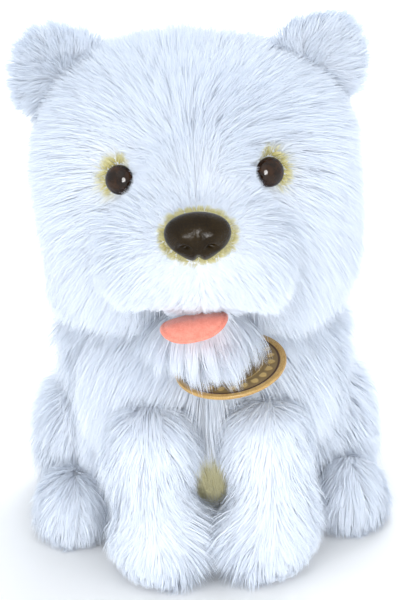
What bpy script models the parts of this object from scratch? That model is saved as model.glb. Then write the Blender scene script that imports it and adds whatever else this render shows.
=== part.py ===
"""A sitting plush terrier, sewn and stuffed.

The dog faces -Y, its own left side is at +X, and it sits on z = 0.
Lengths below are in millimetres and every mesh is scaled to metres when it becomes an object.

A soft form is a list of stations, from its lowest point to its highest. Each station is one level
section: (height, half width, half depth, middle along Y). The first and last stations are points.
"""
import math

import bmesh
import bpy
from mathutils import Matrix, Vector

MM = 0.001

# Cloth and seams
PLUSH = 2.4
SEAM_GAP = 0.8
FIT_GAP = 0.4
LINING_GAP = 0.9

# Heights that the soft forms share
SOLE_THICKNESS = 3.0
SKIN_BOTTOM = 3.4
NECK_SEAM = 106.0
PELLET_TOP = 30.0

# Seam lines
HEAD_GUSSET_HALF = 20.0
BODY_PANEL_HALF = 24.0
BODY_PANEL_Y = 5.0

HEAD = [
    (104.0, 0.0, 0.0, 5.0),
    (104.6, 40.0, 30.0, 5.0),
    (108.0, 51.0, 39.0, 4.0),
    (118.0, 58.0, 48.0, 1.0),
    (134.0, 63.0, 55.0, -2.0),
    (152.0, 65.5, 58.5, -3.0),
    (170.0, 65.5, 59.0, -3.0),
    (188.0, 62.0, 55.0, -2.0),
    (202.0, 52.0, 46.0, 0.0),
    (211.0, 35.0, 31.0, 1.0),
    (215.0, 16.0, 14.0, 1.0),
    (216.0, 0.0, 0.0, 1.0),
]
TORSO = [
    (2.6, 0.0, 0.0, 10.0),
    (3.0, 42.0, 42.0, 10.0),
    (8.0, 49.0, 50.0, 10.0),
    (18.0, 52.5, 54.0, 10.0),
    (34.0, 53.5, 56.0, 9.5),
    (50.0, 53.5, 56.0, 8.0),
    (64.0, 54.0, 55.0, 6.5),
    (78.0, 57.0, 53.0, 5.0),
    (90.0, 56.5, 48.0, 5.0),
    (99.0, 53.0, 41.0, 5.0),
    (105.5, 50.0, 37.5, 5.5),
    (109.0, 40.0, 30.0, 6.0),
    (110.0, 0.0, 0.0, 6.0),
]
FORELEG = [
    (2.8, 0.0, 0.0, -68.0),
    (3.2, 13.0, 18.0, -68.0),
    (8.0, 16.0, 22.0, -68.5),
    (15.0, 16.5, 22.0, -68.5),
    (23.0, 15.5, 19.0, -67.0),
    (33.0, 14.0, 15.5, -64.0),
    (46.0, 14.0, 14.5, -62.0),
    (60.0, 15.0, 15.0, -62.0),
    (70.0, 11.2, 11.2, -62.0),
    (74.0, 5.4, 5.4, -62.0),
    (75.0, 0.0, 0.0, -62.0),
]
THIGH = [
    (3.8, 0.0, 0.0, 28.0),
    (6.0, 8.0, 18.0, 28.0),
    (14.0, 15.0, 26.0, 28.0),
    (26.0, 18.0, 31.0, 27.0),
    (40.0, 17.5, 31.0, 24.0),
    (52.0, 13.0, 25.0, 21.0),
    (60.0, 7.0, 14.0, 19.0),
    (63.0, 0.0, 0.0, 19.0),
]
HIND_FOOT = [
    (2.8, 0.0, 0.0, -23.0),
    (3.2, 11.0, 14.5, -23.0),
    (8.0, 13.2, 18.0, -23.5),
    (15.0, 13.5, 18.0, -23.5),
    (22.0, 11.5, 15.0, -23.0),
    (27.0, 6.0, 8.5, -22.0),
    (28.5, 0.0, 0.0, -22.0),
]
TAIL = [
    (-9.0, 0.0, 0.0, 0.0),
    (-7.0, 5.6, 5.6, 0.0),
    (0.0, 9.0, 9.0, 0.0),
    (12.0, 10.0, 10.0, 0.0),
    (26.0, 9.0, 9.0, 0.0),
    (38.0, 6.0, 6.0, 0.0),
    (45.0, 2.6, 2.6, 0.0),
    (47.0, 0.0, 0.0, 0.0),
]
HEAD_ROUNDNESS = 2.3
TORSO_ROUNDNESS = 2.2

# Muzzle, chin and mouth
MUZZLE_CENTRE = (0.0, -62.0, 146.0)
MUZZLE_HALF = (35.0, 33.0, 23.5)
CHIN_CENTRE = (0.0, -60.0, 113.4)
CHIN_HALF = (20.0, 22.0, 6.0)
TONGUE_CENTRE = (-3.5, -84.0, 121.0)
TONGUE_HALF = (14.5, 9.5, 1.7)
TONGUE_DROOP = 7.0

# Moulded nose and eyes, each held by a stem and a washer
NOSE_CENTRE = (0.0, -91.5, 161.4)
NOSE_HALF = (14.3, 8.5, 10.4)
NOSE_TOP_SPREAD = 0.16
NOSE_STEM_RADIUS = 2.5
NOSE_STEM_LENGTH = 22.0
NOSE_WASHER_RADIUS = 5.5
EYE_X = 31.2
EYE_Z = 176.4
EYE_RADIUS = 6.4
EYE_DOME = 4.4
EYE_AXIS = (0.40, -0.90, 0.17)
EYE_STEM_RADIUS = 1.8
EYE_STEM_LENGTH = 9.0
EYE_WASHER_RADIUS = 6.4
WASHER_THICKNESS = 1.4

# Ears
EAR_BASE = (53.5, -1.0, 204.5)
EAR_LEAN = math.radians(38.0)
EAR_HALF_WIDTH = 17.0
EAR_HEIGHT = 21.0
EAR_LAYER = 2.2

# Legs and tail
FORELEG_X = 25.0
FORELEG_PIVOT = (-62.0, 60.0)
THIGH_X = 55.0
HIND_FOOT_X = 62.5
HIP_PIVOT = (24.0, 30.0)
TAIL_PIVOT = (0.0, 77.0, 40.0)
TAIL_LEAN = math.radians(-27.4)

# Collar and hanging tag
COLLAR_BOTTOM = 95.5
COLLAR_TOP = 101.0
COLLAR_THICKNESS = 1.2
TAG_X = 10.5
TAG_RADIUS = 24.2
TAG_THICKNESS = 1.6
TAG_HOLE_MARGIN = 3.4
TAG_LEAN = math.radians(77.0)
TAG_ROLL = math.radians(6.0)
RING_RADIUS = 3.6
RING_WIRE = 0.5
RING_HEIGHT = 101.0
EYELET_OUTER = 2.6
EYELET_INNER = 1.3

# Care label in the back seam
LABEL_SIZE = (11.0, 0.8, 17.0)
LABEL_ANGLE = math.radians(118.0)
LABEL_Z = 20.0


# ---------------------------------------------------------------- scene and materials

def clear_scene():
    for old in list(bpy.data.objects):
        bpy.data.objects.remove(old, do_unlink=True)


def new_collection(name):
    collection = bpy.data.collections.new(name)
    bpy.context.scene.collection.children.link(collection)
    return collection


def new_material(name, colour, roughness, metallic=0.0):
    material = bpy.data.materials.new(name)
    material.use_nodes = True
    shader = material.node_tree.nodes["Principled BSDF"]
    shader.inputs["Base Color"].default_value = (*colour, 1.0)
    shader.inputs["Roughness"].default_value = roughness
    shader.inputs["Metallic"].default_value = metallic
    return material


clear_scene()
PARTS = new_collection("plush_dog")
CUTTERS = new_collection("cutters")

WHITE_PLUSH = new_material("white_plush", (0.86, 0.87, 0.90), 0.95)
EAR_LINING = new_material("ear_lining", (0.85, 0.83, 0.80), 0.95)
SOLE_CLOTH = new_material("sole_cloth", (0.80, 0.79, 0.77), 0.95)
STUFFING = new_material("polyester_fibre", (0.93, 0.93, 0.92), 1.0)
PELLET_CLOTH = new_material("pellet_bag_cloth", (0.75, 0.74, 0.70), 0.9)
EYE_PLASTIC = new_material("eye_plastic", (0.03, 0.016, 0.006), 0.08)
NOSE_PLASTIC = new_material("nose_plastic", (0.045, 0.022, 0.006), 0.35)
WASHER_PLASTIC = new_material("washer_plastic", (0.85, 0.85, 0.83), 0.5)
TONGUE_FELT = new_material("tongue_felt", (0.95, 0.33, 0.25), 0.9)
COLLAR_RIBBON = new_material("collar_ribbon", (0.55, 0.38, 0.14), 0.6)
TAG_LEATHER = new_material("tag_leatherette", (0.50, 0.32, 0.08), 0.55)
BRASS = new_material("brass", (0.72, 0.50, 0.20), 0.3, 1.0)
LABEL_SATIN = new_material("label_satin", (0.88, 0.88, 0.86), 0.45)


# ---------------------------------------------------------------- bodies that move together

PIVOTS = {
    "torso": (0.0, 0.0, 0.0),
    "head": (0.0, 5.5, NECK_SEAM),
    "tongue": (TONGUE_CENTRE[0], -76.0, TONGUE_CENTRE[2]),
    "ear_left": EAR_BASE,
    "ear_right": (-EAR_BASE[0], EAR_BASE[1], EAR_BASE[2]),
    "foreleg_left": (FORELEG_X, *FORELEG_PIVOT),
    "foreleg_right": (-FORELEG_X, *FORELEG_PIVOT),
    "hind_leg_left": (HIND_FOOT_X, *HIP_PIVOT),
    "hind_leg_right": (-HIND_FOOT_X, *HIP_PIVOT),
    "tail": TAIL_PIVOT,
}
EMPTIES = {}


def add_pivot(name, place):
    """Adds the empty that carries one moving body, on its joint's axis."""
    empty = bpy.data.objects.new("pivot_" + name, None)
    empty.empty_display_size = 10.0 * MM
    empty.location = Vector(place) * MM
    empty.hide_render = True
    PARTS.objects.link(empty)
    PIVOTS[name] = place
    EMPTIES[name] = empty


for body_name, body_place in list(PIVOTS.items()):
    add_pivot(body_name, body_place)
bpy.context.view_layer.update()


# ---------------------------------------------------------------- modelling helpers

def signed_power(value, power):
    return math.copysign(abs(value) ** power, value)


def ball(stations, segments=20, roundness=2.0):
    """Returns the closed surface through the stations; roundness above 2 squares the sections."""
    bm = bmesh.new()
    steps = len(stations) - 1
    bmesh.ops.create_uvsphere(bm, u_segments=segments, v_segments=steps, radius=1.0)
    for vert in bm.verts:
        polar = math.acos(max(-1.0, min(1.0, vert.co.z)))
        station = round((1.0 - polar / math.pi) * steps)
        height, half_width, half_depth, middle = stations[station]
        angle = math.atan2(vert.co.y, vert.co.x)
        vert.co.x = half_width * signed_power(math.cos(angle), 2.0 / roundness)
        vert.co.y = middle + half_depth * signed_power(math.sin(angle), 2.0 / roundness)
        vert.co.z = height
    bmesh.ops.recalc_face_normals(bm, faces=bm.faces)
    return bm


def ellipsoid(centre, half, segments=20, rings=12):
    bm = bmesh.new()
    bmesh.ops.create_uvsphere(bm, u_segments=segments, v_segments=rings, radius=1.0)
    bm.transform(Matrix.Translation(centre) @ Matrix.Diagonal((*half, 1.0)))
    return bm


def grown(bm, distance):
    """Moves every vertex along its normal; a negative distance shrinks the form."""
    bm.normal_update()
    moves = [(vert, vert.normal * distance) for vert in bm.verts]
    for vert, move in moves:
        vert.co += move
    return bm


def keep_side(bm, point, normal, fill):
    """Cuts the form at a plane and keeps the side that the normal points away from."""
    geometry = bm.verts[:] + bm.edges[:] + bm.faces[:]
    cut = bmesh.ops.bisect_plane(
        bm, geom=geometry, dist=1e-5, plane_co=point, plane_no=normal, clear_outer=True)
    if fill:
        edges = [item for item in cut["geom_cut"] if isinstance(item, bmesh.types.BMEdge)]
        bmesh.ops.edgenet_fill(bm, edges=edges)
        bmesh.ops.recalc_face_normals(bm, faces=bm.faces)
    return bm


def cut_by(bm, planes, fill=False):
    for point, normal in planes:
        keep_side(bm, point, normal, fill)
    return bm


def to_object(name, bm, material, body="torso", collection=PARTS, smooth=True):
    """Scales a form to metres and makes it an object under its body's pivot."""
    pivot = Vector(PIVOTS[body])
    bm.transform(Matrix.Translation(-pivot))
    bm.transform(Matrix.Scale(MM, 4))
    mesh = bpy.data.meshes.new(name)
    bm.to_mesh(mesh)
    bm.free()
    if smooth:
        mesh.shade_smooth()
        mesh.set_sharp_from_angle(angle=math.radians(50.0))
    if material is not None:
        mesh.materials.append(material)
    made = bpy.data.objects.new(name, mesh)
    collection.objects.link(made)
    made.parent = EMPTIES[body]
    return made


def add_solidify(target, thickness=PLUSH):
    solidify = target.modifiers.new("cloth_thickness", "SOLIDIFY")
    solidify.thickness = thickness * MM
    solidify.offset = -1.0
    return solidify


def add_boolean(target, cutter, operation="DIFFERENCE"):
    boolean = target.modifiers.new("fit_" + cutter.name, "BOOLEAN")
    boolean.operation = operation
    boolean.object = cutter
    boolean.solver = "EXACT"
    return boolean


def add_cutter(name, bm, body="torso"):
    cutter = to_object(name, bm, None, body, CUTTERS, smooth=False)
    cutter.hide_render = True
    cutter.display_type = "WIRE"
    return cutter


def rod(start, axis, radius, length, segments=12):
    """Returns a closed cylinder that starts at a point and runs along an axis."""
    bm = bmesh.new()
    bmesh.ops.create_cone(
        bm, cap_ends=True, segments=segments, radius1=radius, radius2=radius, depth=length)
    direction = Vector(axis).normalized()
    turn = Vector((0.0, 0.0, 1.0)).rotation_difference(direction).to_matrix().to_4x4()
    middle = Vector(start) + direction * (length / 2.0)
    bm.transform(Matrix.Translation(middle) @ turn)
    return bm


def turned(name, profile, material, body, place, axis, steps=12):
    """Makes a turned piece: a profile of (radius, height) from top to bottom, spun about an axis."""
    mesh = bpy.data.meshes.new(name)
    points = [(radius * MM, 0.0, height * MM) for radius, height in profile]
    edges = [(index, index + 1) for index in range(len(points) - 1)]
    if profile[0] != profile[-1] and profile[0][0] > 0.0:
        edges.append((len(points) - 1, 0))
    mesh.from_pydata(points, edges, [])
    mesh.materials.append(material)
    made = bpy.data.objects.new(name, mesh)
    PARTS.objects.link(made)
    made.parent = EMPTIES[body]
    made.location = (Vector(place) - Vector(PIVOTS[body])) * MM
    made.rotation_euler = Vector((0.0, 0.0, 1.0)).rotation_difference(Vector(axis)).to_euler()
    screw = made.modifiers.new("turn", "SCREW")
    screw.steps = steps
    screw.render_steps = steps
    screw.use_merge_vertices = True
    screw.merge_threshold = 0.00001
    screw.use_smooth_shade = True
    return made


def flat_piece(name, outline, thickness, material, body, matrix):
    """Makes a flat piece from a closed 2D outline, centred on its own plane."""
    curve = bpy.data.curves.new(name, "CURVE")
    curve.dimensions = "2D"
    curve.fill_mode = "BOTH"
    curve.extrude = thickness * MM / 2.0
    spline = curve.splines.new("POLY")
    spline.points.add(len(outline) - 1)
    for point, (across, along) in zip(spline.points, outline):
        point.co = (across * MM, along * MM, 0.0, 1.0)
    spline.use_cyclic_u = True
    drawn = bpy.data.objects.new(name + "_outline", curve)
    PARTS.objects.link(drawn)
    bpy.context.view_layer.update()
    mesh = bpy.data.meshes.new_from_object(drawn.evaluated_get(bpy.context.evaluated_depsgraph_get()))
    bpy.data.objects.remove(drawn, do_unlink=True)
    bm = bmesh.new()
    bm.from_mesh(mesh)
    bpy.data.meshes.remove(mesh)
    bmesh.ops.remove_doubles(bm, verts=bm.verts, dist=1e-6)
    bm.transform(Matrix.Scale(1.0 / MM, 4))
    bm.normal_update()
    bmesh.ops.recalc_face_normals(bm, faces=bm.faces)
    bm.transform(matrix)
    return to_object(name, bm, material, body, smooth=False)


def ellipse_outline(half_width, half_depth, count=24):
    turns = [2.0 * math.pi * index / count for index in range(count)]
    return [(half_width * math.cos(turn), half_depth * math.sin(turn)) for turn in turns]


def section_at(stations, height):
    """Returns the half width, half depth and middle of a form at a height."""
    for low, high in zip(stations, stations[1:]):
        if low[0] <= height <= high[0]:
            share = (height - low[0]) / (high[0] - low[0])
            return [a + (b - a) * share for a, b in zip(low[1:], high[1:])]
    raise ValueError("height outside the form")


def front_at(stations, height, across, roundness):
    """Returns how far forward a form reaches at a height and a distance across."""
    half_width, half_depth, middle = section_at(stations, height)
    rest = 1.0 - abs(across / half_width) ** roundness
    return middle - half_depth * rest ** (1.0 / roundness)


# ---------------------------------------------------------------- torso

def build_torso():
    """Five cloth panels around a fibre core and a pellet bag, on a flat seat."""
    top = ((0, 0, NECK_SEAM - 1.0), (0, 0, 1))
    bottom = ((0, 0, SKIN_BOTTOM), (0, 0, -1))
    half_gap = SEAM_GAP / 2.0
    left_of = lambda x: ((x, 0, 0), (-1, 0, 0))
    right_of = lambda x: ((x, 0, 0), (1, 0, 0))
    panels = {
        "side_panel_left": [left_of(BODY_PANEL_HALF + half_gap)],
        "side_panel_right": [right_of(-BODY_PANEL_HALF - half_gap)],
        "chest_panel": [
            right_of(BODY_PANEL_HALF - half_gap),
            left_of(-BODY_PANEL_HALF + half_gap),
            ((0, BODY_PANEL_Y, 0), (0, 1, 0))],
        "back_panel": [
            right_of(BODY_PANEL_HALF - half_gap),
            left_of(-BODY_PANEL_HALF + half_gap),
            ((0, BODY_PANEL_Y, 0), (0, -1, 0))],
    }
    for name, planes in panels.items():
        bm = cut_by(ball(TORSO, 24, TORSO_ROUNDNESS), [top, bottom] + planes)
        add_solidify(to_object(name, bm, WHITE_PLUSH))
    core_top = ((0, 0, NECK_SEAM - 1.0), (0, 0, 1))
    above_pellets = ((0, 0, PELLET_TOP + FIT_GAP), (0, 0, -1))
    below_fibre = ((0, 0, PELLET_TOP), (0, 0, 1))
    above_seat = ((0, 0, SKIN_BOTTOM + FIT_GAP), (0, 0, -1))
    core = grown(ball(TORSO, 24, TORSO_ROUNDNESS), -(PLUSH + LINING_GAP))
    to_object("body_stuffing", cut_by(core, [core_top, above_pellets], fill=True), STUFFING)
    bag = grown(ball(TORSO, 24, TORSO_ROUNDNESS), -(PLUSH + LINING_GAP))
    to_object("pellet_bag", cut_by(bag, [below_fibre, above_seat], fill=True), PELLET_CLOTH)
    seat_place = Matrix.Translation((0.0, TORSO[1][3], SOLE_THICKNESS / 2.0))
    flat_piece("seat_panel", ellipse_outline(46.0, 47.0), SOLE_THICKNESS, SOLE_CLOTH, "torso", seat_place)


# ---------------------------------------------------------------- head

def build_head():
    """Two side panels and a gusset over a fibre core."""
    bottom = ((0, 0, NECK_SEAM + 1.0), (0, 0, -1))
    half_gap = SEAM_GAP / 2.0
    seam = HEAD_GUSSET_HALF
    gusset = cut_by(ball(HEAD, 24, HEAD_ROUNDNESS), [
        bottom,
        ((seam - half_gap, 0, 0), (1, 0, 0)),
        ((-seam + half_gap, 0, 0), (-1, 0, 0))])
    add_solidify(to_object("head_gusset", gusset, WHITE_PLUSH, "head"))
    core = cut_by(grown(ball(HEAD, 24, HEAD_ROUNDNESS), -(PLUSH + LINING_GAP)), [bottom], fill=True)
    stuffing = to_object("head_stuffing", core, STUFFING, "head")
    for side, word in ((1, "left"), (-1, "right")):
        panel = cut_by(ball(HEAD, 24, HEAD_ROUNDNESS), [
            bottom, ((side * (seam + half_gap), 0, 0), (-side, 0, 0))])
        skin = to_object("head_side_" + word, panel, WHITE_PLUSH, "head")
        add_solidify(skin)
        build_eye(side, word, skin, stuffing)
        build_ear(side, word)


def build_eye(side, word, skin, stuffing):
    """A domed safety eye: its stem goes through the cloth into a washer."""
    surface = Vector((side * EYE_X, front_at(HEAD, EYE_Z, EYE_X, HEAD_ROUNDNESS), EYE_Z))
    axis = Vector((side * EYE_AXIS[0], EYE_AXIS[1], EYE_AXIS[2])).normalized()
    seat = surface + axis * 1.3
    arc = [math.radians(90.0 - 15.0 * step) for step in range(7)]
    dome = [(EYE_RADIUS * math.cos(turn), EYE_DOME * math.sin(turn)) for turn in arc]
    dome[0] = (0.0, EYE_DOME)
    stem = [(EYE_STEM_RADIUS, -0.4), (EYE_STEM_RADIUS, -EYE_STEM_LENGTH), (0.0, -EYE_STEM_LENGTH)]
    turned("eye_" + word, dome + stem, EYE_PLASTIC, "head", seat, axis)
    hole = rod(seat + axis * 4.0, -axis, EYE_STEM_RADIUS + FIT_GAP, 12.0)
    add_boolean(skin, add_cutter("eye_hole_" + word, hole, "head"))
    pocket = rod(seat + axis * 4.0, -axis, EYE_WASHER_RADIUS + 1.0, 15.0)
    add_boolean(stuffing, add_cutter("eye_pocket_" + word, pocket, "head"))
    washer = [
        (EYE_WASHER_RADIUS, 0.0),
        (EYE_WASHER_RADIUS, -WASHER_THICKNESS),
        (EYE_STEM_RADIUS + FIT_GAP, -WASHER_THICKNESS),
        (EYE_STEM_RADIUS + FIT_GAP, 0.0)]
    behind = seat - axis * (1.3 + PLUSH + 2.2)
    turned("eye_washer_" + word, washer, WASHER_PLASTIC, "head", behind, axis)


def build_ear(side, word):
    """Two flat cloth layers, plush behind and lining in front, upright on one fold line."""
    count = 16
    outline = []
    for index in range(count + 1):
        turn = math.pi * index / count
        across = EAR_HALF_WIDTH * math.cos(turn) * (1.0 - 0.30 * math.sin(turn))
        outline.append((across, EAR_HEIGHT * math.sin(turn) ** 0.85))
    lean = Matrix.Rotation(side * EAR_LEAN, 4, "Y")
    upright = Matrix.Rotation(math.radians(90.0), 4, "X")
    place = Matrix.Translation(PIVOTS["ear_" + word])
    layer_shift = (EAR_LAYER + FIT_GAP) / 2.0
    for name, shift, material in (
            ("ear_lining_" + word, -layer_shift, EAR_LINING),
            ("ear_back_" + word, layer_shift, WHITE_PLUSH)):
        matrix = place @ Matrix.Translation((0.0, shift, 0.0)) @ lean @ upright
        flat_piece(name, outline, EAR_LAYER, material, "ear_" + word, matrix)


# ---------------------------------------------------------------- muzzle, nose and mouth

def build_muzzle():
    """Two cheek lobes over a fibre core, a chin below and a moulded nose on top."""
    head_space = add_cutter("head_space", grown(ball(HEAD, 24, HEAD_ROUNDNESS), FIT_GAP), "head")
    muzzle_space = add_cutter(
        "muzzle_space", grown(ellipsoid(MUZZLE_CENTRE, MUZZLE_HALF), FIT_GAP), "head")
    stem_start = Vector(NOSE_CENTRE)
    inward = Vector((0.0, 0.87, -0.50)).normalized()
    hole = add_cutter(
        "nose_hole", rod(stem_start - inward * 12.0, inward, NOSE_STEM_RADIUS + FIT_GAP, 40.0), "head")
    pocket = add_cutter(
        "nose_pocket", rod(stem_start - inward * 12.0, inward, NOSE_WASHER_RADIUS + 0.8, 34.0), "head")
    for side, word in ((1, "left"), (-1, "right")):
        lobe = cut_by(ellipsoid(MUZZLE_CENTRE, MUZZLE_HALF), [
            ((side * SEAM_GAP / 2.0, 0, 0), (-side, 0, 0))])
        skin = to_object("muzzle_" + word, lobe, WHITE_PLUSH, "head")
        add_solidify(skin)
        add_boolean(skin, head_space)
        add_boolean(skin, hole)
    core = grown(ellipsoid(MUZZLE_CENTRE, MUZZLE_HALF), -(PLUSH + LINING_GAP))
    stuffing = to_object("muzzle_stuffing", core, STUFFING, "head")
    add_boolean(stuffing, head_space)
    add_boolean(stuffing, pocket)

    half_x, half_y, half_z = NOSE_HALF
    form = ellipsoid((0, 0, 0), (half_x, half_y, half_z), 16, 10)
    for vert in form.verts:
        vert.co.x *= 1.0 + NOSE_TOP_SPREAD * vert.co.z / half_z
    form.transform(Matrix.Translation(NOSE_CENTRE))
    nose = to_object("nose", form, NOSE_PLASTIC, "head")
    add_boolean(nose, muzzle_space)
    stem = add_cutter("nose_stem", rod(stem_start - inward * 5.0, inward, NOSE_STEM_RADIUS,
                                       NOSE_STEM_LENGTH), "head")
    add_boolean(nose, stem, "UNION")
    washer = [
        (NOSE_WASHER_RADIUS, 0.0),
        (NOSE_WASHER_RADIUS, -WASHER_THICKNESS),
        (NOSE_STEM_RADIUS + FIT_GAP, -WASHER_THICKNESS),
        (NOSE_STEM_RADIUS + FIT_GAP, 0.0)]
    turned("nose_washer", washer, WASHER_PLASTIC, "head", stem_start + inward * 14.0, -inward)

    chin = to_object("chin", ellipsoid(CHIN_CENTRE, CHIN_HALF, 16, 8), WHITE_PLUSH, "head")
    add_boolean(chin, head_space)

    tongue = ellipsoid(TONGUE_CENTRE, TONGUE_HALF, 16, 8)
    for vert in tongue.verts:
        forward = max(0.0, TONGUE_CENTRE[1] - vert.co.y) / TONGUE_HALF[1]
        vert.co.z -= TONGUE_DROOP * forward ** 2
    to_object("tongue", tongue, TONGUE_FELT, "tongue")


# ---------------------------------------------------------------- legs and tail

def build_limb_skin(name, stations, offset, body, segments):
    """A cloth sleeve that is open below, where its sole closes it."""
    bottom = ((0, 0, SKIN_BOTTOM), (0, 0, -1))
    bm = ball(stations, segments)
    bm.transform(Matrix.Translation((offset, 0.0, 0.0)))
    skin = to_object(name, cut_by(bm, [bottom]), WHITE_PLUSH, body)
    add_solidify(skin)
    return skin


def build_limb_core(name, stations, offset, body, segments, planes):
    bm = grown(ball(stations, segments), -(PLUSH + LINING_GAP))
    bm.transform(Matrix.Translation((offset, 0.0, 0.0)))
    return to_object(name, cut_by(bm, planes, fill=True), STUFFING, body)


def build_legs():
    above_sole = ((0, 0, SKIN_BOTTOM + FIT_GAP), (0, 0, -1))
    for side, word in ((1, "left"), (-1, "right")):
        body = "foreleg_" + word
        offset = side * FORELEG_X
        build_limb_skin("foreleg_skin_" + word, FORELEG, offset, body, 14)
        build_limb_core("foreleg_stuffing_" + word, FORELEG, offset, body, 14, [above_sole])
        sole = Matrix.Translation((offset, -68.2, SOLE_THICKNESS / 2.0))
        flat_piece("foreleg_sole_" + word, ellipse_outline(14.5, 20.0, 20), SOLE_THICKNESS,
                   SOLE_CLOTH, body, sole)

        body = "hind_leg_" + word
        offset = side * HIND_FOOT_X
        build_limb_skin("hind_foot_" + word, HIND_FOOT, offset, body, 12)
        build_limb_core("hind_foot_stuffing_" + word, HIND_FOOT, offset, body, 12, [above_sole])
        sole = Matrix.Translation((offset, -23.2, SOLE_THICKNESS / 2.0))
        flat_piece("hind_foot_sole_" + word, ellipse_outline(12.0, 16.5, 20), SOLE_THICKNESS,
                   SOLE_CLOTH, body, sole)
        inner = ((side * THIGH_X, 0, 0), (-side, 0, 0))
        thigh = ball(THIGH, 16)
        thigh.transform(Matrix.Translation((side * THIGH_X, 0.0, 0.0)))
        add_solidify(to_object("thigh_skin_" + word, cut_by(thigh, [inner]), WHITE_PLUSH, body))
        build_limb_core("thigh_stuffing_" + word, THIGH, side * THIGH_X, body, 16, [inner])


def build_tail():
    """A tapered sleeve over a fibre core, on a round root."""
    lean = Matrix.Translation(TAIL_PIVOT) @ Matrix.Rotation(TAIL_LEAN, 4, "X")
    root = ((0, 0, -4.0), (0, 0, -1))
    skin = cut_by(ball(TAIL, 12), [root])
    skin.transform(lean)
    add_solidify(to_object("tail_skin", skin, WHITE_PLUSH, "tail"))
    core = cut_by(grown(ball(TAIL, 12), -(PLUSH + LINING_GAP)), [root], fill=True)
    core.transform(lean)
    to_object("tail_stuffing", core, STUFFING, "tail")


# ---------------------------------------------------------------- collar, tag and label

def build_collar():
    """A ribbon around the neck with a tab, a brass ring and a round leatherette tag."""
    half_width, half_depth, middle = section_at(TORSO, COLLAR_BOTTOM)
    inner_x = half_width + FIT_GAP + 0.6
    inner_y = half_depth + FIT_GAP + 0.6
    count = 32
    band = bmesh.new()
    low = []
    high = []
    power = 2.0 / TORSO_ROUNDNESS
    for index in range(count):
        turn = 2.0 * math.pi * index / count
        across = (inner_x + COLLAR_THICKNESS) * signed_power(math.cos(turn), power)
        along = middle + (inner_y + COLLAR_THICKNESS) * signed_power(math.sin(turn), power)
        low.append(band.verts.new((across, along, COLLAR_BOTTOM)))
        high.append(band.verts.new((across, along, COLLAR_TOP)))
    for index in range(count):
        after = (index + 1) % count
        band.faces.new((low[index], low[after], high[after], high[index]))
    add_solidify(to_object("collar", band, COLLAR_RIBBON), COLLAR_THICKNESS)

    collar_front = middle - (inner_y + COLLAR_THICKNESS) * (
        1.0 - (TAG_X / inner_x) ** TORSO_ROUNDNESS) ** power
    tab_hole_y = collar_front - 3.0
    tab_length = 3.7
    tab = bmesh.new()
    bmesh.ops.create_cube(tab, size=1.0)
    tab.transform(Matrix.Diagonal((6.0, tab_length, 1.0, 1.0)))
    tab.transform(Matrix.Translation((TAG_X, collar_front - 1.2 - tab_length / 2.0, RING_HEIGHT)))
    tab_piece = to_object("tag_tab", tab, COLLAR_RIBBON, smooth=False)
    tab_hole = rod((TAG_X, tab_hole_y, RING_HEIGHT - 3.0), (0, 0, 1), 1.1, 6.0)
    add_boolean(tab_piece, add_cutter("tab_hole", tab_hole))

    ring_centre = Vector((TAG_X, tab_hole_y - RING_RADIUS, RING_HEIGHT))
    roll = Matrix.Rotation(-TAG_ROLL, 4, "Y")
    swing = Matrix.Rotation(-TAG_LEAN, 4, "X")
    build_ring(ring_centre, roll)
    down = roll @ Vector((0.0, -math.sin(TAG_LEAN), -math.cos(TAG_LEAN)))
    hinge = ring_centre + down * RING_RADIUS
    add_pivot("tag", tuple(hinge))
    bpy.context.view_layer.update()
    build_tag(Matrix.Translation(hinge) @ roll @ swing)


def build_ring(centre, roll):
    """A wire ring in the plane across the tag's fold line."""
    bm = bmesh.new()
    count = 14
    sides = 6
    rows = []
    for index in range(count):
        turn = 2.0 * math.pi * index / count
        row = []
        for side in range(sides):
            around = 2.0 * math.pi * side / sides
            reach = RING_RADIUS + RING_WIRE * math.cos(around)
            row.append(bm.verts.new((
                RING_WIRE * math.sin(around), reach * math.cos(turn), reach * math.sin(turn))))
        rows.append(row)
    for index in range(count):
        row = rows[index]
        after = rows[(index + 1) % count]
        for side in range(sides):
            beside = (side + 1) % sides
            bm.faces.new((row[side], row[beside], after[beside], after[side]))
    bmesh.ops.recalc_face_normals(bm, faces=bm.faces)
    bm.transform(Matrix.Translation(centre) @ roll)
    to_object("tag_ring", bm, BRASS)


def build_tag(place):
    """A round tag that hangs from a brass eyelet near its edge; its own plane is XZ before place."""
    drop = TAG_RADIUS - TAG_HOLE_MARGIN
    upright = Matrix.Rotation(math.radians(90.0), 4, "X")
    disc = place @ Matrix.Translation((0.0, 0.0, -drop)) @ upright
    tag = flat_piece("tag", ellipse_outline(TAG_RADIUS, TAG_RADIUS, 40), TAG_THICKNESS, TAG_LEATHER,
                     "tag", disc)
    bore = rod((0.0, -3.0, 0.0), (0, 1, 0), EYELET_OUTER + FIT_GAP, 6.0)
    bore.transform(place)
    add_boolean(tag, add_cutter("eyelet_bore", bore, "tag"))
    half = TAG_THICKNESS / 2.0
    profile = [(EYELET_OUTER, half), (EYELET_OUTER, -half), (EYELET_INNER, -half), (EYELET_INNER, half)]
    axis = place.to_3x3() @ Vector((0.0, 1.0, 0.0))
    turned("tag_eyelet", profile, BRASS, "tag", place.translation, axis)


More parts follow.
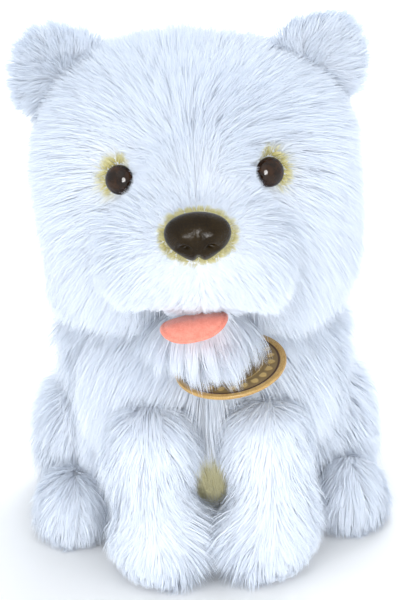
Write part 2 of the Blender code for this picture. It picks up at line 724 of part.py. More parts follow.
def build_label():
    """A blank satin care label that hangs outside the rear seam."""
    half_width, half_depth, middle = section_at(TORSO, LABEL_Z)
    power = 2.0 / TORSO_ROUNDNESS
    across = half_width * signed_power(math.cos(LABEL_ANGLE), power)
    along = middle + half_depth * signed_power(math.sin(LABEL_ANGLE), power)
    normal = Vector((across / half_width ** 2, (along - middle) / half_depth ** 2, 0.0)).normalized()
    spot = Vector((across, along, LABEL_Z)) + normal * 2.0
    bm = bmesh.new()
    bmesh.ops.create_cube(bm, size=1.0)
    bm.transform(Matrix.Diagonal((*LABEL_SIZE, 1.0)))
    turn = Matrix.Rotation(math.atan2(normal.y, normal.x) - math.radians(90.0), 4, "Z")
    bm.transform(Matrix.Translation(spot) @ turn)
    to_object("care_label", bm, LABEL_SATIN, smooth=False)


build_torso()
build_head()
build_muzzle()
build_legs()
build_tail()
build_collar()
build_label()
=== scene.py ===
# %% [markdown]
# # A sitting plush terrier
# The dog is a sewn toy: cloth forms filled with fibre, a long white pile on the cloth, moulded eyes and
# nose, a felt tongue and a round tag on a collar. This lesson builds each of them around a fixed frame of
# plain solids, which gives every place and every hinge. Everything is in metres, +Z is up, and the dog
# faces -Y. The load comes first, because every later size is read from the frame's boxes.

# %% Load the frame
import math

import bmesh
import bpy
import numpy as np
from mathutils import Matrix, Vector


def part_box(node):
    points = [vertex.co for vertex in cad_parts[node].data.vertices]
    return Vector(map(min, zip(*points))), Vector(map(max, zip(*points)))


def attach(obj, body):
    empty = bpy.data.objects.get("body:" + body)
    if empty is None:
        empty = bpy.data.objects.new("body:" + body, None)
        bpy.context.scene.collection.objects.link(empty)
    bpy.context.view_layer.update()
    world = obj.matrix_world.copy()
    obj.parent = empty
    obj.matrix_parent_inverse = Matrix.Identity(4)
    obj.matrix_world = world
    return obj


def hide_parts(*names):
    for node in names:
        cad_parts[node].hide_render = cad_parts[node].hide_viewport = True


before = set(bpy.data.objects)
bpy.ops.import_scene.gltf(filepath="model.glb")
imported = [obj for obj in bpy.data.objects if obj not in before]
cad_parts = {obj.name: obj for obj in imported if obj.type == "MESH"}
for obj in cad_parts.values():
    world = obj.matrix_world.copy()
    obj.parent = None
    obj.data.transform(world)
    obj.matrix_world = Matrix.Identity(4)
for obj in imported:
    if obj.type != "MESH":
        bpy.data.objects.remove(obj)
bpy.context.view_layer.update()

SEED = 20
SIDES = ((1, "left"), (-1, "right"))


def new_object(name, data):
    made = bpy.data.objects.new(name, data)
    bpy.context.scene.collection.objects.link(made)
    return made


# %% [markdown]
# ## Camera
# A product picture of a small toy is taken with a long lens from a little above, which keeps the head
# from looking too large. The toy leans a little, so the camera is rolled by the same few degrees.

# %% Camera
VIEW_HEIGHT = 0.264
CAMERA_DISTANCE = 1.15
CAMERA_RISE = math.radians(20.0)
CAMERA_ROLL = math.radians(3.0)
AIM = Vector((0.001, -0.030, 0.1112))
SENSOR = 36.0

camera_data = bpy.data.cameras.new("camera")
camera_data.sensor_fit = "VERTICAL"
camera_data.sensor_height = SENSOR
camera_data.lens = SENSOR * CAMERA_DISTANCE / VIEW_HEIGHT
camera = new_object("camera", camera_data)
toward = Vector((0.0, -math.cos(CAMERA_RISE), math.sin(CAMERA_RISE)))
camera.location = AIM + toward * CAMERA_DISTANCE
camera.rotation_euler = (
    toward.to_track_quat("Z", "Y").to_matrix() @ Matrix.Rotation(-CAMERA_ROLL, 3, "Z")).to_euler()
bpy.context.scene.camera = camera
print("lens in mm:", round(camera_data.lens))

# %% [markdown]
# ## Shader helpers
# A pattern is easier to read as a formula than as a web of nodes. The small class below wraps one socket,
# so that a plus or a times between two of them adds the Math node that does it.

# %% Shader helpers
def feed(tree, socket, value):
    """Links a wire to a socket, or writes a plain value onto it."""
    if isinstance(value, Wire):
        tree.links.new(value.socket, socket)
    else:
        socket.default_value = value


class Wire:
    """One output socket of a node tree; arithmetic on it adds Math nodes."""

    def __init__(self, tree, socket):
        self.tree = tree
        self.socket = socket

    def node(self, kind, settings=None, out=0, **inputs):
        """Adds a node: its settings first, then the values or links of its sockets by name."""
        made = self.tree.nodes.new(kind)
        for key, value in (settings or {}).items():
            setattr(made, key, value)
        for key, value in inputs.items():
            feed(self.tree, made.inputs[key.replace("_", " ")], value)
        return Wire(self.tree, made.outputs[out])

    def math(self, operation, *values):
        made = self.tree.nodes.new("ShaderNodeMath")
        made.operation = operation
        for socket, value in zip(made.inputs, values):
            feed(self.tree, socket, value)
        return Wire(self.tree, made.outputs[0])

    def __add__(self, other): return self.math("ADD", self, other)
    def __radd__(self, other): return self.math("ADD", other, self)
    def __sub__(self, other): return self.math("SUBTRACT", self, other)
    def __rsub__(self, other): return self.math("SUBTRACT", other, self)
    def __mul__(self, other): return self.math("MULTIPLY", self, other)
    def __rmul__(self, other): return self.math("MULTIPLY", other, self)

    def clamped(self):
        made = self.math("ADD", self, 0.0)
        made.socket.node.use_clamp = True
        return made

    def step(self, low, high):
        """Rises smoothly from 0 at low to 1 at high."""
        return self.node("ShaderNodeMapRange", {"interpolation_type": "SMOOTHSTEP"},
                         Value=self, From_Min=low, From_Max=high)

    def parts(self):
        """Splits a vector into its three numbers."""
        split = self.tree.nodes.new("ShaderNodeSeparateXYZ")
        self.tree.links.new(self.socket, split.inputs[0])
        return [Wire(self.tree, output) for output in split.outputs]

    def mix(self, first, second):
        """Blends two colours, with this value as the share of the second."""
        made = self.tree.nodes.new("ShaderNodeMix")
        made.data_type = "RGBA"
        for place, value in ((0, self), (6, first), (7, second)):
            feed(self.tree, made.inputs[place], value)
        return Wire(self.tree, made.outputs[2])

    def place(self):
        """Where the shaded point is, in the piece's own coordinates."""
        return self.node("ShaderNodeTexCoord", out=3)

    def noise(self, scale, detail=2.0, roughness=0.5):
        return self.node("ShaderNodeTexNoise", Vector=self, Scale=scale, Detail=detail, Roughness=roughness)

    def cells(self, scale):
        """Distance to the nearest edge of a net of cells."""
        return self.node("ShaderNodeTexVoronoi", {"feature": "DISTANCE_TO_EDGE"}, Vector=self, Scale=scale)

    def sine(self):
        return self.math("SINE", self)


def new_finish(name, roughness, metallic=0.0, specular=0.5, sheen=0.0, coat=0.0):
    """Makes a Principled material and returns it with its shader node and a starting wire."""
    material = bpy.data.materials.new(name)
    material.use_nodes = True
    tree = material.node_tree
    shader = tree.nodes["Principled BSDF"]
    for socket, value in (("Roughness", roughness), ("Metallic", metallic),
                          ("Specular IOR Level", specular), ("Sheen Weight", sheen), ("Coat Weight", coat)):
        shader.inputs[socket].default_value = value
    return material, shader, Wire(tree, None)


def connect(wire, shader, name):
    wire.tree.links.new(wire.socket, shader.inputs[name])


def bump(height, shader, strength, distance):
    connect(height.node("ShaderNodeBump", Height=height, Strength=strength, Distance=distance), shader,
            "Normal")


def rgb(red, green, blue):
    return (red, green, blue, 1.0)


# %% [markdown]
# ## The pile's finish
# The pile is white acrylic. Each hair carries a map: across is the share of painted khaki shade that its
# root was given, and up is the way from root to tip. The share is 0 for plain white and 1 for khaki, a
# painted shade for the shadow around the eyes and the nose and between the forelegs. Towards the root the
# khaki is darker and the white a little warmer: painted shade deep in the pile.

# %% Pile finish
def pile_finish(name, tip, root):
    material, shader, start = new_finish(name, 0.62, specular=0.25, sheen=0.15)
    shader.inputs["Sheen Roughness"].default_value = 0.5
    painted_shade, along, _ = start.node("ShaderNodeUVMap", {"uv_map": "OFBake"}).parts()
    # Painted shade: towards the root the white is a little warmer and the khaki much darker.
    white = along.step(0.0, 0.75).mix(root, tip)
    khaki_painted_shade = along.step(0.0, 0.9).mix(rgb(0.50, 0.43, 0.10), rgb(0.76, 0.71, 0.38))
    connect(painted_shade.step(0.10, 0.95).mix(white, khaki_painted_shade), shader, "Base Color")
    return material


WHITE_PILE = pile_finish("white_pile", rgb(0.852, 0.905, 0.985), rgb(0.865, 0.905, 0.975))


# %% [markdown]
# The cloth under the pile is a knitted backing: a fine grid of loops that shows only where the pile parts.

# %% Backing cloth
def cloth_finish(name, colour, shade, loops_per_metre):
    """Knitted cloth: loops are the product of two sine waves, with a slow mottling over them."""
    material, shader, start = new_finish(name, 0.9, specular=0.2, sheen=0.25)
    place = start.place()
    x, y, z = place.parts()
    turn = 2.0 * math.pi * loops_per_metre
    loops = ((z + y * 0.3) * turn).sine() * ((x + y) * turn).sine() * 0.5 + 0.5
    mottle = place.noise(90.0)
    connect((loops * 0.5 + mottle * 0.5).clamped().mix(shade, colour), shader, "Base Color")
    bump(loops, shader, 0.5, 0.00015)
    return material


BACKING = cloth_finish("knitted_backing", rgb(0.86, 0.89, 0.93), rgb(0.78, 0.80, 0.82), 900.0)
SOLE_CLOTH = cloth_finish("sole_cloth", rgb(0.84, 0.86, 0.90), rgb(0.74, 0.74, 0.76), 1100.0)

# %% [markdown]
# ## Mesh helpers
# Every made surface is a table of points. A sheet of rows and columns becomes faces with one array
# expression, and the arrays go straight into the mesh.

# %% Mesh helpers
WELD_GAP = 1e-7


def mesh_from_arrays(name, points, corners, sizes, material):
    """Fills a mesh from arrays: points, the point numbers of all faces in a row, and each face's count."""
    mesh = bpy.data.meshes.new(name)
    starts = np.concatenate(([0], np.cumsum(sizes)[:-1])).astype(np.int32)
    mesh.vertices.add(len(points))
    mesh.vertices.foreach_set("co", np.asarray(points, dtype=np.float32).ravel())
    mesh.loops.add(len(corners))
    mesh.loops.foreach_set("vertex_index", np.asarray(corners, dtype=np.int32))
    mesh.polygons.add(len(sizes))
    mesh.polygons.foreach_set("loop_start", starts)
    mesh.polygons.foreach_set("use_smooth", np.ones(len(sizes), dtype=bool))
    mesh.update(calc_edges=True)
    mesh.materials.append(material)
    return mesh


def place_piece(mesh, body, replaces=()):
    piece = new_object(mesh.name, mesh)
    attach(piece, body)
    if replaces:
        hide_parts(*replaces)
    return piece


def sheet_corners(rows, columns, closed_columns=True, closed_rows=False):
    """Point numbers of a grid's quads, running on round the columns where they close."""
    row = np.arange(rows if closed_rows else rows - 1)[:, None]
    column = np.arange(columns if closed_columns else columns - 1)[None, :]
    next_row = (row + 1) % rows
    next_column = (column + 1) % columns
    quads = np.stack([
        row * columns + column, row * columns + next_column,
        next_row * columns + next_column, next_row * columns + column], axis=-1)
    return quads.reshape(-1, 4)


def weld(mesh):
    """Merges points that meet, as at poles, and turns every face outwards."""
    form = bmesh.new()
    form.from_mesh(mesh)
    bmesh.ops.remove_doubles(form, verts=form.verts, dist=WELD_GAP)
    bmesh.ops.recalc_face_normals(form, faces=form.faces)
    form.to_mesh(mesh)
    form.free()
    return mesh


def grid_piece(name, points, material, closed_columns=True, closed_rows=False):
    """Makes a mesh from a grid of points (rows, columns, 3)."""
    rows, columns, _ = points.shape
    quads = sheet_corners(rows, columns, closed_columns, closed_rows)
    return weld(mesh_from_arrays(name, points.reshape(-1, 3), quads.ravel(), np.full(len(quads), 4),
                                 material))


def turns(count):
    """Equal steps once round a circle, from 0."""
    return np.arange(count) * 2.0 * math.pi / count


def signed_power(values, power):
    """A power that keeps the sign: below 1 it squares off a circle's sine and cosine."""
    return np.sign(values) * np.abs(values) ** power


def unit(vectors):
    length = np.linalg.norm(vectors, axis=-1, keepdims=True)
    return vectors / np.maximum(length, 1e-12)


def smooth_step(value, low, high):
    share = np.clip((value - low) / (high - low), 0.0, 1.0)
    return share * share * (3.0 - 2.0 * share)


# %% [markdown]
# ## Stuffed forms
# A stuffed limb is a sewn bag that fibre presses outwards. The frame holds it as separate cloth panels
# and a core. Copies of those solids are joined, remeshed into one skin, and inflated as cloth for a few
# frames, so that seams and corners round off the way filling rounds them. A cap on the movement keeps
# the form inside the space that its solids hold.

# %% Stuffed forms
PUFF_FRAMES = 20
PUFF_PRESSURE = 4.0


def join_solids(name, nodes):
    """Joins copies of frame solids into one mesh."""
    joined = bmesh.new()
    for node in nodes:
        joined.from_mesh(bpy.data.objects[node].data)
    mesh = bpy.data.meshes.new(name)
    bmesh.ops.remove_doubles(joined, verts=joined.verts, dist=WELD_GAP)
    joined.to_mesh(mesh)
    joined.free()
    return mesh


def bake_modifiers(piece):
    """Replaces a piece's mesh with what its modifiers make of it."""
    graph = bpy.context.evaluated_depsgraph_get()
    baked = bpy.data.meshes.new_from_object(piece.evaluated_get(graph))
    piece.modifiers.clear()
    piece.data = baked
    return piece


def read_array(items, key, width, kind):
    """One number row of the given width for each of a mesh's items."""
    values = np.empty(len(items) * width, dtype=kind)
    items.foreach_get(key, values)
    return values.reshape(-1, width)


def read_points(mesh):
    return read_array(mesh.vertices, "co", 3, np.float32).astype(np.float64)


def outer_skin(mesh):
    """Keeps the largest connected surface: labels spread along edges until they stop changing."""
    edges = read_array(mesh.edges, "vertices", 2, np.int32)
    label = np.arange(len(mesh.vertices))
    while True:
        low = np.minimum(label[edges[:, 0]], label[edges[:, 1]])
        fresh = label.copy()
        np.minimum.at(fresh, edges[:, 0], low)
        np.minimum.at(fresh, edges[:, 1], low)
        fresh = fresh[fresh]
        if np.array_equal(fresh, label):
            break
        label = fresh
    names, sizes = np.unique(label, return_counts=True)
    main = names[np.argmax(sizes)]
    form = bmesh.new()
    form.from_mesh(mesh)
    form.verts.ensure_lookup_table()
    loose = [form.verts[index] for index in np.flatnonzero(label != main)]
    bmesh.ops.delete(form, geom=loose, context="VERTS")
    form.to_mesh(mesh)
    form.free()


def stuffed_form(name, nodes, body, voxel, cap, relax=8):
    """Remeshes copies of solids into one skin, rounds it, and inflates it as cloth."""
    piece = new_object(name, join_solids(name, nodes))
    remesh = piece.modifiers.new("remesh", "REMESH")
    remesh.mode = "VOXEL"
    remesh.voxel_size = voxel
    bake_modifiers(piece)
    outer_skin(piece.data)
    soften = piece.modifiers.new("soften", "SMOOTH")
    soften.iterations = relax
    bake_modifiers(piece)
    before = read_points(piece.data)
    cloth = piece.modifiers.new("filling", "CLOTH")
    cloth.settings.use_pressure = True
    cloth.settings.uniform_pressure_force = PUFF_PRESSURE
    cloth.settings.effector_weights.gravity = 0.0
    cloth.collision_settings.use_collision = False
    cloth.point_cache.frame_start = 1
    cloth.point_cache.frame_end = PUFF_FRAMES
    for step in range(1, PUFF_FRAMES + 1):
        bpy.context.scene.frame_set(step)
    bake_modifiers(piece)
    bpy.context.scene.frame_set(1)
    move = read_points(piece.data) - before
    reach = np.linalg.norm(move, axis=1, keepdims=True)
    capped = before + move * np.minimum(1.0, cap / np.maximum(reach, 1e-9))
    piece.data.vertices.foreach_set("co", capped.astype(np.float32).ravel())
    subdivide = piece.modifiers.new("subdivide", "SUBSURF")
    subdivide.levels = 1
    subdivide.render_levels = 1
    bake_modifiers(piece)
    piece.data.shade_smooth()
    piece.data.name = name
    piece.data.materials.clear()
    piece.data.materials.append(BACKING)
    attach(piece, body)
    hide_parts(*nodes)
    print(name, len(piece.data.polygons), "faces")
    return piece


HEAD_SOLIDS = ["head_gusset", "head_side_left", "head_side_right", "head_stuffing",
               "muzzle_left", "muzzle_right", "muzzle_stuffing", "chin"]
TORSO_SOLIDS = ["side_panel_left", "side_panel_right", "chest_panel", "back_panel", "body_stuffing",
                "pellet_bag"]
FORMS = {
    "head": stuffed_form("head_cloth", HEAD_SOLIDS, "head", 0.004, 0.002),
    "torso": stuffed_form("body_cloth", TORSO_SOLIDS, "torso", 0.004, 0.002),
    "tail": stuffed_form("tail_cloth", ["tail_skin", "tail_stuffing"], "tail", 0.0025, 0.001),
}
LIMBS = (("foreleg", ("foreleg_skin_", "foreleg_stuffing_"), "foreleg_", 0.003, 0.001, 8),
         ("thigh", ("thigh_skin_", "thigh_stuffing_"), "hind_leg_", 0.003, 0.001, 8),
         ("foot", ("hind_foot_", "hind_foot_stuffing_"), "hind_leg_", 0.003, 0.0008, 8),
         ("ear", ("ear_back_", "ear_lining_"), "ear_", 0.0015, 0.0006, 3))
for _, word in SIDES:
    for limb, nodes, body, voxel, cap, relax in LIMBS:
        FORMS[limb + "_" + word] = stuffed_form(limb + "_cloth_" + word, [node + word for node in nodes],
                                                body + word, voxel, cap, relax)

# %% [markdown]
# ## Reading a hard part
# The hard parts of the frame are coarse. A finer one needs the coarse one's own centre line and plane.
# The direction in which a disc is thin, or in which a turned part is symmetric, comes out of the spread of
# its points: the singular vectors of the points around their middle.

# %% Reading a hard part
def node_points(node):
    return read_points(bpy.data.objects[node].data)


def node_box(node):
    """Lowest and highest corner of a frame solid, as arrays."""
    return [np.array(corner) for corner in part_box(node)]


def node_span(node):
    """Middle and half size of a frame solid's box."""
    low, high = node_box(node)
    return (low + high) / 2.0, (high - low) / 2.0


def main_directions(points):
    """Middle of the points, and three directions from the widest spread to the narrowest."""
    middle = (points.min(axis=0) + points.max(axis=0)) / 2.0
    return middle, np.linalg.svd(points - points.mean(axis=0), full_matrices=False)[2]


def off_axis_reach(offsets, axis):
    """Distance of each offset from the line along an axis."""
    return np.linalg.norm(offsets - (offsets @ axis)[:, None] * axis, axis=1)


def upright_frame(axis):
    """Two directions across an axis: level to the side, and up."""
    side = unit(np.cross(np.array([0.0, 0.0, 1.0]), axis))
    return side, np.cross(axis, side)


def turned_grid(profile, centre, axis, segments=64):
    """Carries a profile of (radius, place along the axis) pairs round an axis."""
    side, up = upright_frame(axis)
    profile = np.asarray(profile, dtype=float)
    turn = turns(segments)
    ring = np.cos(turn)[:, None] * side + np.sin(turn)[:, None] * up
    return centre + profile[:, :1, None] * ring + profile[:, 1:, None] * axis


def join_grids(name, grids, material):
    """Joins several grids of points that run round, each with its ends closed, into one mesh."""
    points, corners, sizes, first = [], [], [], 0
    for grid in grids:
        rows, columns, _ = grid.shape
        quads = sheet_corners(rows, columns)
        ends = np.concatenate([np.arange(columns)[::-1], (rows - 1) * columns + np.arange(columns)])
        points.append(grid.reshape(-1, 3))
        corners.append(np.concatenate([quads.ravel(), ends]) + first)
        sizes.append(np.concatenate([np.full(len(quads), 4), [columns, columns]]))
        first += rows * columns
    return weld(mesh_from_arrays(name, np.concatenate(points), np.concatenate(corners),
                                 np.concatenate(sizes), material))


# %% [markdown]
# ## Eyes
# A safety eye is one moulding: a polished dome with a thin flange, and a ribbed stem that a washer locks
# on behind the cloth. The dome's profile is a quarter ellipse, the flange is a short step under it, and the
# ribs are a wave along the stem. The plastic is almost black, a little browner where it is thin.

# %% Eye plastic
def gloss_finish(name, deep, thin):
    material, shader, start = new_finish(name, 0.05, specular=0.32)
    swirl = start.place().noise(220.0, 3.0)
    connect(swirl.step(0.35, 0.75).mix(deep, thin), shader, "Base Color")
    connect(swirl * 0.05 + 0.04, shader, "Roughness")
    return material


EYE_GLOSS = gloss_finish("eye_gloss", rgb(0.010, 0.004, 0.001), rgb(0.038, 0.014, 0.003))

# %% Eyes
EYE_SEATS = []
STEM_RADIUS = 0.00165
RIB_DEPTH = 0.00015
RIB_PITCH = 0.0012
for _, word in SIDES:
    eye_points = node_points("eye_" + word)
    washer_middle = node_points("eye_washer_" + word).mean(axis=0)
    eye_axis = unit(eye_points.mean(axis=0) - washer_middle)
    along_axis = (eye_points - washer_middle) @ eye_axis
    off_axis = off_axis_reach(eye_points - washer_middle, eye_axis)
    radius = off_axis.max()
    seat_level = along_axis[off_axis > radius * 0.99].min()
    dome_height = along_axis.max() - seat_level
    stem_end = along_axis.min() - seat_level
    eye_seat = washer_middle + eye_axis * seat_level
    EYE_SEATS.append(eye_seat)
    bend = np.linspace(math.pi / 2.0, 0.0, 24)
    dome = np.stack([radius * np.cos(bend), dome_height * np.sin(bend)], axis=1)
    flange = np.array([[radius * 1.01, -0.0002], [radius * 0.99, -0.0005], [0.0024, -0.0006]])
    ribs = np.linspace(-0.0007, stem_end, 34)
    stem = np.stack([STEM_RADIUS + RIB_DEPTH * np.sin((ribs / RIB_PITCH) * 2.0 * math.pi), ribs], axis=1)
    profile = np.concatenate([dome, flange, stem, [[0.0002, stem_end - 0.0001]]])
    profile[0, 0] = 0.0001
    grid = turned_grid(profile, eye_seat, eye_axis)
    place_piece(join_grids("glass_eye_" + word, [grid], EYE_GLOSS), "head", ["eye_" + word])
EYE_RADIUS = radius

# %% [markdown]
# ## Nose
# The nose is one moulding as well: a rounded wedge, wider above than below, with two soft swellings over
# the nostrils, a groove down the middle and a notch at its lower edge. It starts as a unit ball, and each
# feature is a bell-shaped hump or dent added to the ball's radius before the ball is stretched.

# %% Nose shape
def bell(distance, width):
    """1 at zero distance, falling away like a bell."""
    return np.exp(-(distance / width) ** 2)


def nose_grid(centre, half, rows=125, columns=150):
    """A stretched ball with swellings, nostrils, a groove and a notch; poles on the left-right axis."""
    turn = np.linspace(0.0, math.pi, rows)[:, None]
    around = turns(columns)[None, :]
    x = np.cos(turn) + 0.0 * around
    y = -np.sin(turn) * np.cos(around)
    z = np.sin(turn) * np.sin(around)
    front = smooth_step(-y, 0.0, 0.35)
    radius = np.ones_like(x)
    for way in (1.0, -1.0):
        radius += 0.13 * bell(np.hypot(x - way * 0.42, z - 0.26), 0.27) * front
        curl = z + 0.26 + 1.35 * (x * way - 0.42) ** 2
        radius -= 0.24 * bell(np.hypot((x - way * 0.44) / 1.5, curl), 0.115) * front
        radius -= 0.05 * bell(np.hypot(x - way * 0.62, z + 0.30), 0.16) * front
    radius -= 0.075 * bell(x, 0.10) * smooth_step(z, 0.65, 0.05) * front
    radius -= 0.13 * bell(x, 0.13) * smooth_step(z, -0.55, -0.95)
    wedge = 1.0 + 0.16 * z
    lower = 1.0 - 0.10 * smooth_step(np.abs(x), 0.25, 0.85) * smooth_step(z, 0.0, -0.8)
    shape = np.stack([x * radius * wedge * half[0], y * radius * half[1],
                      z * radius * lower * half[2]], axis=-1)
    return centre + shape


def grained_finish(name, deep, worn, roughness, grain_scale):
    """Moulded plastic with a fine leather grain: a net of cells and a fine noise over slow blotches."""
    material, shader, start = new_finish(name, roughness, specular=0.16)
    place = start.place()
    slow = place.noise(130.0, 3.0)
    grain = place.cells(grain_scale).step(0.0, 0.22)
    connect((slow.step(0.3, 0.75) * 0.7 + grain * 0.3).mix(deep, worn), shader, "Base Color")
    connect(slow * 0.22 + (roughness - 0.08), shader, "Roughness")
    bump(grain * 0.7 + place.noise(grain_scale * 2.5) * 0.3, shader, 0.50, 0.00012)
    return material


NOSE_GRAIN = grained_finish("nose_grain", rgb(0.010, 0.005, 0.0006), rgb(0.027, 0.015, 0.002), 0.20,
                            900.0)

# %% Nose
NOSE_LOW, NOSE_HIGH = node_box("nose")
nose_half = np.array([(NOSE_HIGH[0] - NOSE_LOW[0]) / 2.0 / 1.04, 0.0085, 0.0104])
nose_centre = np.array([0.0, NOSE_LOW[1] + nose_half[1], NOSE_HIGH[2] - nose_half[2] * 0.99])
stem_axis = unit(node_points("nose_washer").mean(axis=0) - nose_centre)
stem_profile = [[0.0001, 0.004], [0.0024, 0.004], [0.0024, 0.0162], [0.0020, 0.0168], [0.0001, 0.0168]]
nose_mesh = join_grids("nose_moulding", [
    nose_grid(nose_centre, nose_half),
    turned_grid(stem_profile, nose_centre, stem_axis, 32)], NOSE_GRAIN)
place_piece(nose_mesh, "head", ["nose"])

# %% [markdown]
# ## Tongue
# The tongue is two leaves of felt, stuffed a little and stitched round the edge. It is thick in the
# middle, thin at the stitches, and it droops over the chin. The stitches are dents along a line near the
# rim, and the felt is fibres: a fine noise, stretched differently in two places and added.

# %% Felt
def felt_finish(name, colour, shade):
    material, shader, start = new_finish(name, 0.9, specular=0.15, sheen=0.6)
    shader.inputs["Sheen Roughness"].default_value = 0.4
    place = start.place()
    x, y, z = place.parts()
    lengthwise = start.node("ShaderNodeCombineXYZ", X=x * 0.35, Y=y, Z=z)
    crosswise = start.node("ShaderNodeCombineXYZ", X=x, Y=y * 0.35, Z=z * 0.5)
    fibres = lengthwise.noise(2600.0, 3.0, 0.6) * 0.5 + crosswise.noise(2100.0, 3.0, 0.6) * 0.5
    blotch = place.noise(260.0, 3.0)
    connect((fibres * 0.65 + blotch * 0.35).step(0.36, 0.62).mix(shade, colour), shader, "Base Color")
    bump(fibres, shader, 0.7, 0.0004)
    return material


TONGUE_FELT = felt_finish("tongue_felt", rgb(0.91, 0.33, 0.245), rgb(0.80, 0.23, 0.165))

# %% Tongue shape
TONGUE_LOW, TONGUE_HIGH = node_box("tongue")
TONGUE_MIDDLE, TONGUE_HALF = node_span("tongue")
TONGUE_THICK = 0.0036
TONGUE_DROOP = TONGUE_HIGH[2] - TONGUE_LOW[2] - TONGUE_THICK
STITCH_COUNT = 46
BLUNT = 0.78
TONGUE_LEAN = 0.0020


def tongue_leaf(up, rings=26, columns=184):
    """One leaf of the tongue, from its middle out to its rim.

    Across the leaf the thickness falls as a rounded curve of the distance from the middle, with a dent
    along the stitch line; the whole leaf then droops with the square of the way forward.
    """
    share = np.linspace(0.0, 1.0, rings)[:, None]
    turn = turns(columns)[None, :]
    x = share * signed_power(np.cos(turn), BLUNT) * TONGUE_HALF[0]
    y = share * signed_power(np.sin(turn), BLUNT) * TONGUE_HALF[1]
    plump = np.sqrt(np.maximum(0.0, 1.0 - share ** 2.4)) * 0.72 + 0.28 * np.sqrt(
        np.maximum(0.0, 1.0 - share ** 14))
    dashes = 0.55 + 0.45 * np.cos(turn * STITCH_COUNT)
    stitch = bell(share - 0.88, 0.035) * dashes * 0.30 + bell(share - 0.88, 0.07) * 0.12
    groove = bell(x, TONGUE_HALF[0] * 0.07) * smooth_step(y, -0.006, 0.002) * 0.22
    height = up * TONGUE_THICK / 2.0 * np.maximum(plump - stitch - groove, 0.0)
    forward = np.maximum(0.0, -y) / TONGUE_HALF[1]
    lift = TONGUE_LEAN * x / TONGUE_HALF[0]
    z = TONGUE_HIGH[2] - TONGUE_THICK / 2.0 + height - TONGUE_DROOP * forward ** 2 + lift
    return np.stack([TONGUE_MIDDLE[0] + x, TONGUE_MIDDLE[1] + y, z], axis=-1)


tongue_points = np.concatenate([tongue_leaf(1.0), tongue_leaf(-1.0)[::-1][1:]])
tongue = place_piece(grid_piece("felt_tongue", tongue_points, TONGUE_FELT), "tongue", ["tongue"])
print("tongue", len(tongue.data.polygons), "faces")

# %% [markdown]
# ## Tag
# The tag is a stiff round piece of embossed leatherette. Its face is worked out as a height over a disc: a
# raised gilt rim, a thin dark line inside it, a wreath of small leaves, and a paw in the middle. The same
# map that places the relief also places the colours, so that the dye sits in the low places.

# %% Tag relief
TAG_MIDDLE, tag_ways = main_directions(node_points("tag"))
TAG_NORMAL = tag_ways[2] * np.sign(tag_ways[2][2])
TAG_ACROSS = unit(np.cross(np.array([0.0, 1.0, 0.0]), TAG_NORMAL))
TAG_ACROSS = TAG_ACROSS * np.sign(TAG_ACROSS[0])
TAG_UP = np.cross(TAG_NORMAL, TAG_ACROSS)
tag_offsets = node_points("tag") - TAG_MIDDLE
TAG_RADIUS = off_axis_reach(tag_offsets, TAG_NORMAL).max()
TAG_HALF = np.abs(tag_offsets @ TAG_NORMAL).max()
TAG_FLAT = 0.985
RELIEF = 0.00045
PAW_TOES = ((-0.30, 0.12), (-0.11, 0.31), (0.11, 0.31), (0.30, 0.12))
LEAVES = 22


def tag_height(x, y):
    """Height of the relief from 0 to 1 at x, y, both as shares of the tag's radius."""
    reach = np.hypot(x, y)
    rim = smooth_step(reach, 0.885, 0.915)
    line = bell(reach - 0.865, 0.012)
    angle = np.arctan2(y, x)
    leaf_turn = np.abs(np.mod(angle * LEAVES / (2.0 * math.pi), 1.0) - 0.5)
    leaf = smooth_step(np.hypot(leaf_turn * 2.3, (reach - 0.72) / 0.085 + (leaf_turn - 0.25)), 1.0, 0.55)
    pad = smooth_step(np.hypot(x / 0.27, (y + 0.16 + 0.5 * x * x) / 0.20), 1.08, 0.86)
    toes = sum(smooth_step(np.hypot((x - tx) / 0.085, (y - ty) / 0.125), 1.1, 0.8) for tx, ty in PAW_TOES)
    ring = bell(reach - 0.58, 0.018)
    return 0.18 + 0.82 * rim + 0.45 * leaf + 0.55 * np.maximum(pad, toes) + 0.35 * ring - 0.5 * line


def tag_grid(rings=104, columns=210):
    """Front face from the middle out, a rounded edge, and a plain back."""
    share = np.linspace(0.0, 1.0, rings)[:, None] * TAG_FLAT
    turn = turns(columns)[None, :]
    x, y = share * np.cos(turn), share * np.sin(turn)
    front = TAG_HALF - RELIEF * (1.0 - np.clip(tag_height(x, y), 0.0, 1.0))
    bend = np.linspace(math.pi / 2.0, -math.pi / 2.0, 10)[1:, None]
    edge_share = TAG_FLAT + (1.0 - TAG_FLAT) * np.cos(bend)
    back_share = np.linspace(TAG_FLAT, 0.0, 14)[1:, None]
    share = np.concatenate([share, edge_share, back_share])
    height = np.concatenate([front, np.sin(bend) * TAG_HALF + 0.0 * turn,
                             -TAG_HALF + 0.0 * back_share * turn])
    return np.stack([share * np.cos(turn), share * np.sin(turn), height], axis=-1)


def cut_round_hole(piece, middle, axis, radius):
    """Cuts a round hole through a piece with a boolean, and applies it."""
    reach = 0.01
    profile = [[1e-5, -reach], [radius, -reach], [radius, reach], [1e-5, reach]]
    mesh = join_grids("hole", [turned_grid(profile, middle, axis, 40)], piece.data.materials[0])
    cutter = new_object("hole", mesh)
    cut = piece.modifiers.new("hole", "BOOLEAN")
    cut.object = cutter
    cut.solver = "EXACT"
    bake_modifiers(piece)
    bpy.data.objects.remove(cutter)
    bpy.data.meshes.remove(mesh)


